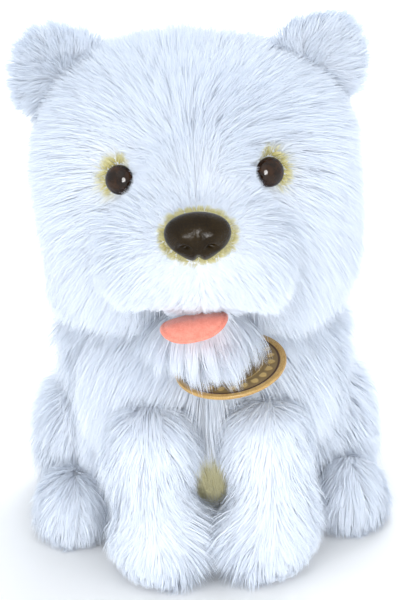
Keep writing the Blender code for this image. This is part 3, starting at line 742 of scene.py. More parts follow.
# %% Tag finish
def tag_finish(name):
    """Gilt rim, dark line, and dye that gathers in the low places of the relief."""
    material, shader, start = new_finish(name, 0.42, specular=0.5, coat=0.15)
    reach, height, _ = start.node("ShaderNodeUVMap", {"uv_map": "relief"}).parts()
    place = start.place()
    blotch = place.noise(420.0, 4.0, 0.65)
    grain = place.cells(1300.0).step(0.0, 0.25)
    raised = (height * 1.15 + blotch * 0.5 - 0.42).step(0.10, 0.62)
    field = raised.mix(rgb(0.20, 0.125, 0.040), rgb(0.50, 0.34, 0.11))
    gilt = (blotch * 0.7 + grain * 0.3).step(0.3, 0.7).mix(rgb(0.41, 0.235, 0.060), rgb(0.56, 0.36, 0.12))
    line = reach.step(0.842, 0.850) * (1.0 - reach.step(0.880, 0.890))
    rim = reach.step(0.880, 0.892)
    colour = line.mix(rim.mix(field, gilt), rgb(0.060, 0.022, 0.006))
    connect(colour, shader, "Base Color")
    connect(0.50 - rim * 0.14 + blotch * 0.12, shader, "Roughness")
    bump(grain * 0.6 + blotch * 0.4, shader, 0.35, 0.00012)
    return material


TAG_LEATHER = tag_finish("tag_leatherette")

# %% Tag piece
tag_shares = tag_grid()
tag_local = tag_shares * np.array([TAG_RADIUS, TAG_RADIUS, 1.0])
tag_points = (TAG_MIDDLE + tag_local[..., :1] * TAG_ACROSS + tag_local[..., 1:2] * TAG_UP
              + tag_local[..., 2:] * TAG_NORMAL)
tag = place_piece(grid_piece("round_tag", tag_points, TAG_LEATHER), "tag", ["tag"])
eyelet_points = node_points("tag_eyelet")
EYELET_MIDDLE = (eyelet_points.min(axis=0) + eyelet_points.max(axis=0)) / 2.0
eyelet_reach = off_axis_reach(eyelet_points - EYELET_MIDDLE, TAG_NORMAL)
EYELET_OUTER, EYELET_INNER = eyelet_reach.max(), eyelet_reach.min()
cut_round_hole(tag, EYELET_MIDDLE, TAG_NORMAL, EYELET_OUTER - 0.0006)
layer = tag.data.uv_layers.get("relief") or tag.data.uv_layers.new(name="relief")
flat = read_points(tag.data) - TAG_MIDDLE
corner_vertex = read_array(tag.data.loops, "vertex_index", 1, np.int32).ravel()
share_x, share_y = flat @ TAG_ACROSS / TAG_RADIUS, flat @ TAG_UP / TAG_RADIUS
relief_map = np.stack([np.hypot(share_x, share_y), np.clip(tag_height(share_x, share_y), 0.0, 1.0)], axis=1)
layer.data.foreach_set("uv", relief_map[corner_vertex].astype(np.float32).ravel())

# %% [markdown]
# ## Brass and ribbon
# An eyelet is a short brass tube whose ends are rolled outwards, so its profile is a flat C turned round
# its axis. The ring is wire: a small circle carried round a large one. The collar and its tab are woven
# ribbon, where warp and weft pass over each other in turn.

# %% Brass finish
def brass_finish(name):
    material, shader, start = new_finish(name, 0.22, metallic=1.0)
    rub = start.place().noise(700.0, 4.0, 0.6)
    connect(rub.step(0.35, 0.7).mix(rgb(0.50, 0.31, 0.09), rgb(0.80, 0.60, 0.26)), shader, "Base Color")
    connect(rub * 0.28 + 0.12, shader, "Roughness")
    return material


BRASS = brass_finish("rubbed_brass")

# %% Eyelet and ring
eyelet_turn = np.linspace(-0.35 * math.pi, 1.35 * math.pi, 22)
roll_radius = (EYELET_OUTER - EYELET_INNER) / 2.0
face_curl = np.stack([EYELET_INNER + roll_radius + roll_radius * np.cos(eyelet_turn),
                      TAG_HALF + roll_radius * 0.35 * np.sin(eyelet_turn)], axis=1)
back_curl = face_curl * np.array([1.0, -1.0])
loop_profile = np.concatenate([face_curl, back_curl[::-1], face_curl[:1]])
eyelet_grid = turned_grid(loop_profile, EYELET_MIDDLE, TAG_NORMAL, 48)
place_piece(grid_piece("brass_eyelet", eyelet_grid, BRASS), "tag", ["tag_eyelet"])


RING_WIRE = 0.0005
TAB_HOLE_RADIUS = 0.0011


def wire_ring(node, wire, columns=72, sides=14):
    """A small circle of wire, carried round the circle of a frame ring in the ring's plane."""
    points = node_points(node)
    middle, (first, second, normal) = main_directions(points)
    reach = off_axis_reach(points - middle, normal).max() - wire
    turn = turns(columns)[:, None, None]
    around = turns(sides)[:, None]
    outward = np.cos(turn) * first + np.sin(turn) * second
    return middle + outward * (reach + wire * np.cos(around)) + wire * np.sin(around) * normal


ring_mesh = grid_piece("brass_ring", wire_ring("tag_ring", RING_WIRE), BRASS, closed_rows=True)
place_piece(ring_mesh, "torso", ["tag_ring"])

# %% Woven ribbon
def woven_finish(name, light, dark, threads_per_metre):
    """Ribbon: warp and weft are two waves, and their product says which thread is on top."""
    material, shader, start = new_finish(name, 0.6, specular=0.35, sheen=0.3)
    place = start.place()
    x, y, z = place.parts()
    turn = math.pi * threads_per_metre
    weave = (z * turn).sine() * ((x + y) * turn).sine() * 0.5 + 0.5
    wear = place.noise(150.0, 3.0)
    connect((weave * 0.6 + wear * 0.4).step(0.25, 0.75).mix(dark, light), shader, "Base Color")
    bump(weave, shader, 0.6, 0.0002)
    return material


RIBBON = woven_finish("woven_ribbon", rgb(0.56, 0.40, 0.16), rgb(0.34, 0.22, 0.07), 2600.0)


def frame_outline(node, columns=220, sectors=64):
    """Outline of a band seen from above: the largest reach in each sector round its middle."""
    low, high = node_box(node)
    middle, half = node_span(node)
    x, y, _ = ((node_points(node) - middle) / half).T
    sector = np.round((np.arctan2(y, x) + math.pi) / (2.0 * math.pi) * sectors).astype(int) % sectors
    largest = np.zeros(sectors)
    np.maximum.at(largest, sector, np.hypot(x, y))
    known = np.flatnonzero(largest)
    turn = turns(columns) - math.pi
    outline = np.interp((turn + math.pi) / (2.0 * math.pi) * sectors, known, largest[known],
                        period=sectors)
    around = np.stack([np.cos(turn), np.sin(turn)], axis=1)
    return middle[:2] + around * outline[:, None] * half[:2], middle, low[2], high[2]


def collar_grid():
    """A flat band with rounded, slightly thicker selvedges, carried round the neck's outline."""
    outline, middle, bottom, top = frame_outline("collar")
    inward = unit(middle[:2] - outline)
    thick = 0.0011
    turn = np.linspace(0.0, 2.0 * math.pi, 28, endpoint=False)
    across = 0.5 + 0.5 * signed_power(np.cos(turn), 0.25)
    depth = 0.5 + 0.5 * np.sin(turn) * np.where(np.abs(np.cos(turn)) > 0.8, 1.0, 0.8)
    height = bottom + (top - bottom) * across
    place = outline[None, :, :] + inward[None, :, :] * (thick * depth)[:, None, None]
    z = np.broadcast_to(height[:, None, None], place.shape[:2] + (1,))
    return np.concatenate([place, z], axis=-1)


collar_mesh = grid_piece("ribbon_collar", collar_grid(), RIBBON, closed_rows=True)
collar = place_piece(collar_mesh, "torso", ["collar"])
print("collar", len(collar.data.polygons), "faces")

# %% [markdown]
# ## Soles, seat, tab and label
# Each sole is an oval of short cloth, turned in and stitched near its edge, so it crowns a little between
# the stitches and lies flat on the floor. The seat is the same at a larger size. The tab is a short end of
# ribbon with a hole for the ring, and the blank label is a satin strip folded once and sewn in.

# %% Oval pads
def oval_pad(node, rings=22, columns=120, pucker=34):
    """An oval cushion: flat below, crowned above, rounded at the rim, with puckers at the stitches."""
    middle, half = node_span(node)
    turn = turns(columns)[None, :]
    leaves = []
    for up in (1.0, -1.0):
        share = np.linspace(0.0, 1.0, rings)[:, None]
        rim = np.sqrt(np.maximum(0.0, 1.0 - share ** 10))
        stitch = bell(share - 0.91, 0.030) * (0.30 + 0.20 * np.cos(turn * pucker))
        height = up * half[2] * np.maximum(rim - stitch * (1.0 if up > 0.0 else 0.35), 0.0)
        wave = 1.0 - 0.006 * (1.0 + np.cos(turn * pucker)) * share ** 6
        leaves.append(middle + np.stack([share * wave * np.cos(turn) * half[0],
                                         share * wave * np.sin(turn) * half[1], height], axis=-1))
    return np.concatenate([leaves[0], leaves[1][::-1][1:]])


for _, word in SIDES:
    for node, body, name in (
            ("foreleg_sole_" + word, "foreleg_" + word, "paw_pad_" + word),
            ("hind_foot_sole_" + word, "hind_leg_" + word, "foot_pad_" + word)):
        pad = place_piece(grid_piece(name, oval_pad(node), SOLE_CLOTH), body, [node])
seat_pad = place_piece(grid_piece("seat_pad", oval_pad("seat_panel", 28, 220, 90), SOLE_CLOTH), "torso",
                       ["seat_panel"])


# %% Tab and label
def satin_finish(name, colour, shade):
    """Satin: long floats along one direction, broken in steps."""
    material, shader, start = new_finish(name, 0.38, specular=0.4, sheen=0.4)
    place = start.place()
    x, y, z = place.parts()
    floats = (z * 7000.0 + (x * 2600.0).sine() * 1.4).sine() * 0.5 + 0.5
    crease = place.noise(200.0, 2.0)
    connect((floats * 0.4 + crease * 0.6).step(0.25, 0.7).mix(shade, colour), shader, "Base Color")
    bump(floats * 0.5 + crease, shader, 0.3, 0.0002)
    return material


def strip_grid(path, across, width, thick):
    """Carries a thin rectangle with rounded sides along a path: rows follow the path."""
    ahead = unit(np.gradient(path, axis=0))
    normal = np.cross(ahead, across)
    turn = turns(16)
    side = signed_power(np.cos(turn), 0.2) * width / 2.0
    rise = signed_power(np.sin(turn), 0.2) * thick / 2.0
    return path[:, None] + across * side[None, :, None] + normal[:, None] * rise[None, :, None]


tab_middle, tab_half = node_span("tag_tab")
tab_path = np.tile(tab_middle, (24, 1))
tab_path[:, 1] += np.linspace(tab_half[1], -tab_half[1], 24)
tab_grid = strip_grid(tab_path, np.array([1.0, 0.0, 0.0]), 2.0 * tab_half[0], 2.0 * tab_half[2])
tab = place_piece(join_grids("ribbon_tab", [tab_grid], RIBBON), "torso", ["tag_tab"])
tab_hole = np.array([tab_middle[0], node_box("tag_ring")[1][1] - RING_WIRE, tab_middle[2]])
cut_round_hole(tab, tab_hole, np.array([0.0, 0.0, 1.0]), TAB_HOLE_RADIUS)

LABEL_THICK = 0.00022
LABEL_MIDDLE, label_ways = main_directions(node_points("care_label"))
label_low, label_high = node_box("care_label")
label_across = label_ways[1] * np.sign(label_ways[1][0])
label_normal = unit(np.cross(label_across, np.array([0.0, 0.0, 1.0])))
label_width = np.ptp((node_points("care_label") - LABEL_MIDDLE) @ label_across)
fall = np.concatenate([np.linspace(1.0, 0.03, 40), np.linspace(0.03, 1.0, 40)])
fold_side = np.concatenate([np.linspace(1.0, 0.9, 34), np.cos(np.linspace(0.45, math.pi - 0.45, 12)),
                            np.linspace(-0.9, -1.0, 34)])
fold_drop = np.concatenate([np.zeros(34), -np.sin(np.linspace(0.0, math.pi, 12)) * 0.01, np.zeros(34)])
label_path = LABEL_MIDDLE + fold_side[:, None] * LABEL_THICK * label_normal
label_path[:, 2] = label_low[2] + (label_high[2] - label_low[2]) * (fall + fold_drop)
label_grid = strip_grid(label_path, label_across, label_width, LABEL_THICK)
place_piece(join_grids("satin_label", [label_grid], satin_finish(
    "label_satin", rgb(0.88, 0.88, 0.86), rgb(0.74, 0.74, 0.73))), "torso", ["care_label"])
print("soles, seat, tab and label made")

# %% [markdown]
# ## Washers
# The washers inside the head have the right shape already, so the frame's own solids stay and only get
# a moulded finish: fine turning lines, and a faint cloud where the plastic cooled.

# %% Washer finish
def moulded_finish(name, colour, shade):
    material, shader, start = new_finish(name, 0.45, specular=0.4)
    place = start.place()
    x, y, z = place.parts()
    lines = ((x + z) * 9000.0).sine() * 0.5 + 0.5
    cloud = place.noise(300.0, 3.0)
    connect((lines * 0.3 + cloud * 0.7).step(0.3, 0.7).mix(shade, colour), shader, "Base Color")
    bump(lines, shader, 0.2, 0.00005)
    return material


WASHER = moulded_finish("washer_plastic", rgb(0.80, 0.80, 0.78), rgb(0.66, 0.66, 0.64))
for node in ("eye_washer_left", "eye_washer_right", "nose_washer"):
    washer_mesh = bpy.data.objects[node].data
    washer_mesh.materials.clear()
    washer_mesh.materials.append(WASHER)
print("washers dressed")

# %% [markdown]
# ## Growing the pile
# Long pile could be a particle system, but particles aren't mesh, and the toy has to leave as mesh. So
# each hair is a narrow blade of mesh: a centre line of a few points, widened to both sides and closed in
# a tip.
# The whole coat of one form is worked out at once. Roots are spread over the form's triangles by area, a
# comb function turns each root into a direction, a length and a lift, and hairs near each other lean
# together into tufts, which is what makes pile look soft and not bristly.

# %% Reading a form
def form_surface(piece):
    """Corner points, corner normals and areas of a form's triangles."""
    graph = bpy.context.evaluated_depsgraph_get()
    mesh = piece.evaluated_get(graph).to_mesh()
    mesh.calc_loop_triangles()
    triangles = read_array(mesh.loop_triangles, "vertices", 3, np.int32)
    normals = read_array(mesh.vertices, "normal", 3, np.float32).astype(np.float64)
    corners = read_points(mesh)[triangles]
    area = 0.5 * np.linalg.norm(
        np.cross(corners[:, 1] - corners[:, 0], corners[:, 2] - corners[:, 0]), axis=1)
    return corners, normals[triangles], area


def scatter_roots(piece, count, random, keep):
    """Spreads roots by area, thicker where keep(points, normals) is larger."""
    corners, normals, area = form_surface(piece)
    middle = corners.mean(axis=1)
    weight = area * keep(middle, unit(normals.mean(axis=1)))
    chosen = random.choice(len(area), size=count, p=weight / weight.sum())
    first, second = random.random((2, count))
    fold = first + second > 1.0
    first[fold] = 1.0 - first[fold]
    second[fold] = 1.0 - second[fold]
    share = np.stack([1.0 - first - second, first, second], axis=1)[:, :, None]
    roots = (corners[chosen] * share).sum(axis=1)
    outward = unit((normals[chosen] * share).sum(axis=1))
    return roots, outward


# %% Waves and tufts
def wave_field(points, scale, random):
    """A smooth random vector at each point: three sine waves along random directions for each axis."""
    total = np.zeros_like(points)
    for _ in range(3):
        heading = random.normal(size=(3, 3)) / scale
        phase = random.random(3) * 2.0 * math.pi
        total += np.sin(points @ heading + phase)
    return total / 3.0


def tuft_numbers(points, size, random):
    """Gives hairs whose wavy positions fall in one cell of a grid the same number."""
    bent = points + wave_field(points, size * 1.3, random) * size * 0.6
    cell = np.floor(bent / size).astype(np.int64)
    _, number = np.unique(cell, axis=0, return_inverse=True)
    return number.ravel()


def tuft_means(values, number):
    """Mean of an array (hairs, ...) over each tuft, handed back to its hairs."""
    flat = values.reshape(len(values), -1)
    count = np.bincount(number)
    mean = np.stack([np.bincount(number, weights=column) for column in flat.T], axis=1) / count[:, None]
    return mean[number].reshape(values.shape)


# %% Blades
DOWN = np.array([0.0, 0.0, -1.0])
HAIR_SCATTER = 0.13
SWAY = 0.30
SWAY_SIZE = 0.016
BLADE_TILT = 0.30
FLOOR_GAP = 0.0004


def hair_lines(roots, outward, comb, length, lift, droop, tuft_size, gather, steps, random):
    """Centre lines (hairs, points, 3).

    A hair leaves its root between the outward normal and the comb direction, as lift says, and turns
    towards the comb direction and the ground along its way. Then the hairs of a tuft are drawn towards
    the tuft's mean line, more so towards their tips.
    """
    comb = unit(comb - outward * (comb * outward).sum(axis=1, keepdims=True))
    scatter = random.normal(size=roots.shape) * HAIR_SCATTER + wave_field(roots, SWAY_SIZE, random) * SWAY
    start = unit(outward * lift + comb * (1.0 - lift) + scatter * 0.6)
    finish = unit(outward * lift * 0.55 + comb * (1.10 - lift) + scatter)
    share = np.linspace(0.0, 1.0, steps + 1)[None, :, None]
    heading = start[:, None] * (1.0 - share) + finish[:, None] * share
    heading = unit(heading + DOWN * (droop[:, None, None] * share ** 1.5))
    stride = (heading[:, :-1] + heading[:, 1:]) * 0.5 * (length / steps)[:, None, None]
    line = np.concatenate([np.zeros((len(roots), 1, 3)), np.cumsum(stride, axis=1)], axis=1)
    line += roots[:, None]
    number = tuft_numbers(roots, tuft_size, random)
    return line + (tuft_means(line, number) - line) * gather * share ** 1.3


def hair_mesh(name, line, outward, width, painted_shade, random):
    """Turns centre lines into blades facing outwards; their map OFBake holds the share of painted shade and
    the way along.
    """
    count, rows, _ = line.shape
    steps = rows - 1
    tilt = outward[:, None] + random.normal(size=(count, 1, 3)) * BLADE_TILT
    across = unit(np.cross(unit(np.gradient(line, axis=1)), tilt))
    taper = (1.0 - np.linspace(0.0, 1.0, rows)[:-1]) ** 0.6
    half = across[:, :-1] * (width[:, None] * 0.5 * taper)[:, :, None]
    pairs = np.stack([line[:, :-1] - half, line[:, :-1] + half], axis=2).reshape(count, 2 * steps, 3)
    points = np.concatenate([pairs, line[:, -1:]], axis=1)
    points[:, :, 2] = np.maximum(points[:, :, 2], FLOOR_GAP)
    step = np.arange(steps - 1)
    quads = np.stack([2 * step, 2 * step + 1, 2 * step + 3, 2 * step + 2], axis=1).ravel()
    pattern = np.concatenate([quads, [2 * steps - 2, 2 * steps - 1, 2 * steps]])
    corners = (np.arange(count)[:, None] * (2 * steps + 1) + pattern).ravel()
    sizes = np.tile([4] * (steps - 1) + [3], count)
    mesh = mesh_from_arrays(name, points.reshape(-1, 3), corners, sizes, WHITE_PILE)
    share = np.append(np.repeat(np.arange(steps), 2), steps) / steps
    side = np.append(np.tile([-1.0, 1.0], steps), 0.0)
    map_u = 0.02 + 0.96 * np.clip(painted_shade, 0.0, 1.0)[:, None] + side * 0.01
    map_v = np.broadcast_to(0.01 + 0.98 * share, map_u.shape)
    layer = mesh.uv_layers.new(name="OFBake")
    corner_map = np.stack([map_u.ravel()[corners], map_v.ravel()[corners]], axis=1)
    layer.data.foreach_set("uv", corner_map.astype(np.float32).ravel())
    return mesh


# %% Coats
LONGEST = 1.12
RAGGED_SIZE = 0.003
TINT_SCATTER = 0.03
COAT_FACES = []


def everywhere(points, normals):
    return np.ones(len(points))


def grow_coat(name, form, body, count, comb, keep=everywhere, width=0.00040, tuft=0.0055, gather=0.42,
              steps=3, shortest=0.72, thinning=1.0, shaggy=0.0):
    """Grows one coat on a form; comb gives direction, length, lift, droop and the share of painted shade at
    each root.

    Lengths run from shortest to LONGEST times the comb's length, a higher thinning leaves fewer long
    ones, and shaggy makes whole locks longer or shorter.
    """
    random = np.random.default_rng(SEED + len(COAT_FACES))
    roots, outward = scatter_roots(form, count, random, keep)
    heading, length, lift, droop, painted_shade = comb(roots, outward)
    lift, droop = np.broadcast_to(lift, count), np.broadcast_to(droop, count)
    length = length * (shortest + (LONGEST - shortest) * random.random(count) ** thinning)
    length = length * (1.0 + shaggy * wave_field(roots, RAGGED_SIZE, random)[:, 0])
    line = hair_lines(roots, outward, heading, length, lift[:, None], droop, tuft, gather, steps, random)
    painted_shade = painted_shade + random.normal(size=count) * TINT_SCATTER
    mesh = hair_mesh(name, line, outward, width * random.uniform(0.75, 1.25, count), painted_shade, random)
    piece = place_piece(mesh, body)
    COAT_FACES.append(count * (2 * steps - 1))
    print(name, count, "hairs")
    return piece


# %% [markdown]
# ## Combing
# A comb function reads where a hair stands. On the head the pile starts between the eyes and fans out over
# the crown and the cheeks. On the muzzle it starts at the nose and parts to both sides like a moustache,
# and under the mouth it hangs as a beard. Around each eye and the nose it is clipped short, and there it
# is painted khaki, a painted shade for the shadow that falls round the eyes and the nose.

# %% Landmarks
HEAD_LOW = node_box("head_stuffing")[0]
MOUTH_Z = (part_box("muzzle_right")[0][2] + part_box("chin")[1][2]) / 2.0
MUZZLE_BACK = -0.045
NECK_LOW, NECK_HIGH = 0.1065, 0.108
BROW = np.array([0.0, HEAD_LOW[1] + 0.004, nose_centre[2] + 0.013])
RING_LEAN = math.tan(math.radians(18.0))


def distance_to(points, place):
    return np.linalg.norm(points - place, axis=1)


def eye_distance(points):
    return np.minimum(distance_to(points, EYE_SEATS[0]), distance_to(points, EYE_SEATS[1]))


def sideways(points):
    """+X on the left side and -X on the right, turning over smoothly at the middle."""
    return np.tanh(points[:, :1] / 0.0015) * np.array([1.0, 0.0, 0.0])


def clip_round_eyes(points, heading, length):
    """Hairs beside an eye are short and lean away from it; hairs that head for it end at its edge."""
    heading = unit(heading)
    for eye in EYE_SEATS:
        gap = distance_to(points, eye)
        away = unit(points - eye)
        outer = smooth_step(away[:, 0] * np.sign(eye[0]) + 0.55 * away[:, 2], -0.45, 0.25)
        near = (1.0 - smooth_step(gap, 0.0095, 0.0140)) * outer
        heading = unit(heading * (1.0 - near)[:, None] + away * near[:, None])
        towards = -(heading * away).sum(axis=1)
        room = np.where(towards > 0.2, np.maximum(gap - EYE_RADIUS + 0.0022, 0.002), 1.0)
        short = 0.0032 + 0.021 * smooth_step(gap, 0.0085, 0.0190)
        length = np.minimum(np.minimum(length, np.where(gap < 0.021, short, 1.0)), room)
    return heading, length


def eye_painted_shade(points):
    """Painted shade in khaki close to an eye, mostly above it and on its outer side, for the shadow round
    the eye.
    """
    painted_shade = np.zeros(len(points))
    for eye in EYE_SEATS:
        away = unit(points - eye)
        outer = smooth_step(away[:, 0] * np.sign(eye[0]) + 0.6 * away[:, 2], -0.6, 0.5)
        ring = 1.0 - smooth_step(distance_to(points, eye), 0.0072, 0.0128)
        painted_shade += ring * (0.25 + 0.75 * outer)
    return painted_shade


def nose_ring(points):
    """Distance from the nose's outline, carried back onto the muzzle along a line that leans down."""
    offset = points - nose_centre
    across = offset[:, 0] / nose_half[0]
    up = (offset[:, 2] + offset[:, 1] * RING_LEAN) / nose_half[2]
    return (np.hypot(across, up) - 1.0) * nose_half[2]


# %% Head combs
def comb_head(points, outward):
    """Fans out from the brow; falls on the cheeks and the back of the head."""
    fan = unit(points - BROW)
    fan[:, 1] *= 0.35 + 0.65 * smooth_step(points[:, 1], -0.030, 0.0)
    behind = smooth_step(points[:, 1], 0.0, 0.05)
    low = smooth_step(points[:, 2], 0.168, 0.122)
    heading = fan * ((1.0 - behind) * (1.0 - 0.6 * low))[:, None]
    heading = heading + DOWN * (1.2 * behind + 0.8 * low)[:, None]
    heading = heading + sideways(points) * (0.40 * low * (1.0 - behind))[:, None]
    crown = smooth_step(points[:, 2], 0.185, 0.210)
    rear = smooth_step(points[:, 1], -0.020, 0.050)
    fringe = behind * smooth_step(points[:, 2], 0.128, 0.112)
    length = 0.0205 - 0.0030 * crown + 0.0085 * low + 0.0110 * fringe
    heading, length = clip_round_eyes(points, heading, length)
    lift = 0.46 + crown * (0.12 - 0.30 * rear) + 0.05 * low - 0.12 * fringe
    droop = 0.45 - 0.40 * crown * (1.0 - rear) + 0.30 * low
    return heading, length, lift, droop, eye_painted_shade(points)


def comb_muzzle(points, outward):
    """Parts below the nose and runs outwards and down; above the nose it runs up the bridge.

    It starts short at the nose's outline and stays short over the tongue, so that both are clear of it.
    """
    away = unit(points - nose_centre)
    below = smooth_step(points[:, 2], nose_centre[2] + 0.002, nose_centre[2] - 0.014)
    heading = away * (1.0 - 0.55 * below)[:, None]
    heading = heading + (sideways(points) * 1.25 + DOWN * 0.75) * below[:, None]
    heading = heading * np.array([1.0, 0.6, 1.0])
    gap = nose_ring(points)
    length = 0.0022 + 0.0206 * smooth_step(gap, 0.0012, 0.0150)
    middle = 1.0 - smooth_step(np.abs(points[:, 0]), 0.003, 0.022)
    over_tongue = (1.0 - smooth_step(np.abs(points[:, 0] - TONGUE_MIDDLE[0]), 0.010, 0.023)) * smooth_step(
        points[:, 2], MOUTH_Z + 0.024, MOUTH_Z + 0.008)
    length = length * (1.0 - 0.45 * middle * below) * (1.0 - 0.50 * over_tongue)
    heading, length = clip_round_eyes(points, heading, length)
    lift = 0.40 + 0.12 * smooth_step(np.abs(points[:, 0]), 0.010, 0.030)
    droop = 0.15 + 0.40 * below - 0.35 * over_tongue
    # ring is painted shade: khaki where the pile meets the nose's outline, for the shadow round the nose.
    ring = 1.0 - smooth_step(gap, 0.0002, 0.0030)
    painted_shade = np.maximum(0.9 * ring, eye_painted_shade(points))
    return heading, length, lift, droop, painted_shade


def comb_beard(points, outward):
    """Hangs from the chin, forward and down, in a fan."""
    heading = np.array([0.12, -0.55, -1.0]) + (points[:, :1] / 0.020) * np.array([0.8, 0.0, 0.0])
    middle = 1.0 - smooth_step(np.abs(points[:, 0]), 0.010, 0.030)
    return heading, 0.0265 + 0.004 * middle, 0.34, 0.55, 0.02


def on_muzzle(points, normals):
    """From 0 to 1: in front of the face and above the mouth."""
    front = smooth_step(points[:, 1], HEAD_LOW[1] + 0.001, HEAD_LOW[1] - 0.003)
    return front * smooth_step(points[:, 2], MOUTH_Z - 0.0015, MOUTH_Z + 0.0015)


def on_chin(points, normals):
    front = smooth_step(points[:, 1], MUZZLE_BACK + 0.003, MUZZLE_BACK - 0.003)
    return front * smooth_step(points[:, 2], MOUTH_Z + 0.0015, MOUTH_Z - 0.0015)


def on_face(points, normals):
    near = (1.0 - on_muzzle(points, normals)) * (1.0 - on_chin(points, normals))
    bare = smooth_step(eye_distance(points), EYE_RADIUS * 0.95, EYE_RADIUS * 1.1)
    front = smooth_step(points[:, 1], 0.012, -0.002)
    return bare * near * front * smooth_step(points[:, 2], NECK_LOW, NECK_HIGH)


def on_head_back(points, normals):
    return smooth_step(points[:, 1], -0.004, 0.010) * smooth_step(points[:, 2], NECK_LOW, NECK_HIGH)


# %% Body combs
def comb_body(points, outward):
    """Falls down and outwards, longest in front of the collar; painted shade in khaki between the forelegs.
    """
    heading = DOWN + outward * np.array([0.25, 0.25, 0.0])
    low = smooth_step(points[:, 2], 0.030, 0.005)
    length = 0.0225 - 0.010 * low
    between = (1.0 - smooth_step(np.abs(points[:, 0]), 0.010, 0.020)) * (points[:, 1] < 0.0)
    # shade is painted shade: khaki between the forelegs, where the chest pile lies in shadow.
    shade = between * smooth_step(points[:, 2], 0.062, 0.050) * smooth_step(points[:, 2], 0.022, 0.034)
    length = length * (1.0 - 0.45 * shade)
    collar_zone = smooth_step(points[:, 2], 0.062, 0.080) * smooth_step(points[:, 1], -0.020, -0.035)
    length = length + 0.0135 * collar_zone
    lift = 0.52 - 0.10 * low - 0.04 * collar_zone
    return heading, length, lift, 0.60 - 0.1 * low, 0.02 + 0.75 * shade


def parting(points, strength):
    """To both sides from the middle of a limb."""
    way = np.tanh((points[:, :1] - points[:, 0].mean()) / 0.006)
    return way * np.array([strength, 0.0, 0.0])


def comb_leg(points, outward):
    """Parts over the top of the leg, falls down it, and runs forward over the paw.

    On the inner side it is short where the chest shows between the legs, and longer below, where the
    two paws meet.
    """
    paw = smooth_step(points[:, 2], 0.028, 0.012)
    top = smooth_step(outward[:, 2], -0.1, 0.5) * (1.0 - paw)
    heading = DOWN + paw[:, None] * np.array([0.0, -0.55, 0.0]) + top[:, None] * (
        np.array([0.0, -0.5, 0.1]) + parting(points, 1.3))
    front = smooth_step(-outward[:, 1], 0.2, 0.9)
    length = 0.0190 - 0.0105 * paw - 0.003 * front * (1.0 - paw)
    inner = smooth_step(-outward[:, 0] * np.sign(points[:, 0]), 0.1, 0.7)
    opening = bell(points[:, 2] - 0.042, 0.010)
    closing = smooth_step(points[:, 2], 0.036, 0.024)
    length = length + inner * (0.0095 * closing - 0.0080 * opening)
    lift = 0.48 - 0.08 * paw - 0.20 * top + 0.18 * inner * closing
    return heading, length, lift, 0.45 - 0.2 * paw + 0.4 * top, 0.02


def comb_haunch(points, outward):
    """Falls down over the thigh and a little to the back, longer below."""
    heading = np.broadcast_to(np.array([0.0, 0.10, -1.0]), points.shape)
    length = 0.0195 + 0.0050 * smooth_step(points[:, 2], 0.045, 0.020)
    return heading, length, 0.48, 0.5, 0.02


def comb_foot(points, outward):
    """Parts over the top of the foot and falls forward and down."""
    top = smooth_step(outward[:, 2], 0.0, 0.6)
    heading = np.array([0.0, -0.65, -0.9]) + sideways(points) * 0.15 + top[:, None] * parting(points, 1.0)
    return heading, 0.0155, 0.48 - 0.20 * top, 0.3 + 0.3 * top, 0.02


def comb_ear(side):
    def comb(points, outward):
        """Runs from the fold line to the rim and outwards, and falls a little at the outer side."""
        low = points.min(axis=0)
        root = np.array([side * (np.abs(points[:, 0]).min() + 0.010), points[:, 1].mean(), low[2] + 0.008])
        heading = unit(points - root) * np.array([1.0, 0.2, 1.0]) + np.array([side * 0.45, 0.0, 0.0])
        back = smooth_step(outward[:, 1], -0.5, 0.5)
        tip = smooth_step(points[:, 2], low[2] + 0.018, low[2] + 0.032)
        heading = heading + tip[:, None] * np.array([-side * 0.35, 0.0, 0.5])
        length = 0.0120 + 0.0030 * back + 0.0020 * tip
        return heading, length, 0.38, 0.22, 0.02
    return comb


def comb_tail(points, outward):
    """Runs up the tail to its tip."""
    heading = np.broadcast_to(np.array([0.0, 0.45, 0.9]), points.shape)
    return heading, 0.0185, 0.48, 0.35, 0.02


# %% Grow every coat
def side_only(side, keep):
    return lambda points, normals: keep(points, normals) * (side * points[:, 0] > 0.0)


def above_seat(points, normals):
    return smooth_step(points[:, 2], 0.004, 0.007) * smooth_step(points[:, 2], 0.1055, 0.1045)


def on_chest(points, normals):
    return above_seat(points, normals) * smooth_step(points[:, 1], 0.004, -0.004)


def on_back(points, normals):
    return above_seat(points, normals) * smooth_step(points[:, 1], -0.004, 0.004)


def above_sole(points, normals):
    density = 1.0 + smooth_step(points[:, 2], 0.016, 0.004) + 0.8 * smooth_step(normals[:, 2], 0.0, 0.6)
    return smooth_step(points[:, 2], 0.0015, 0.003) * density


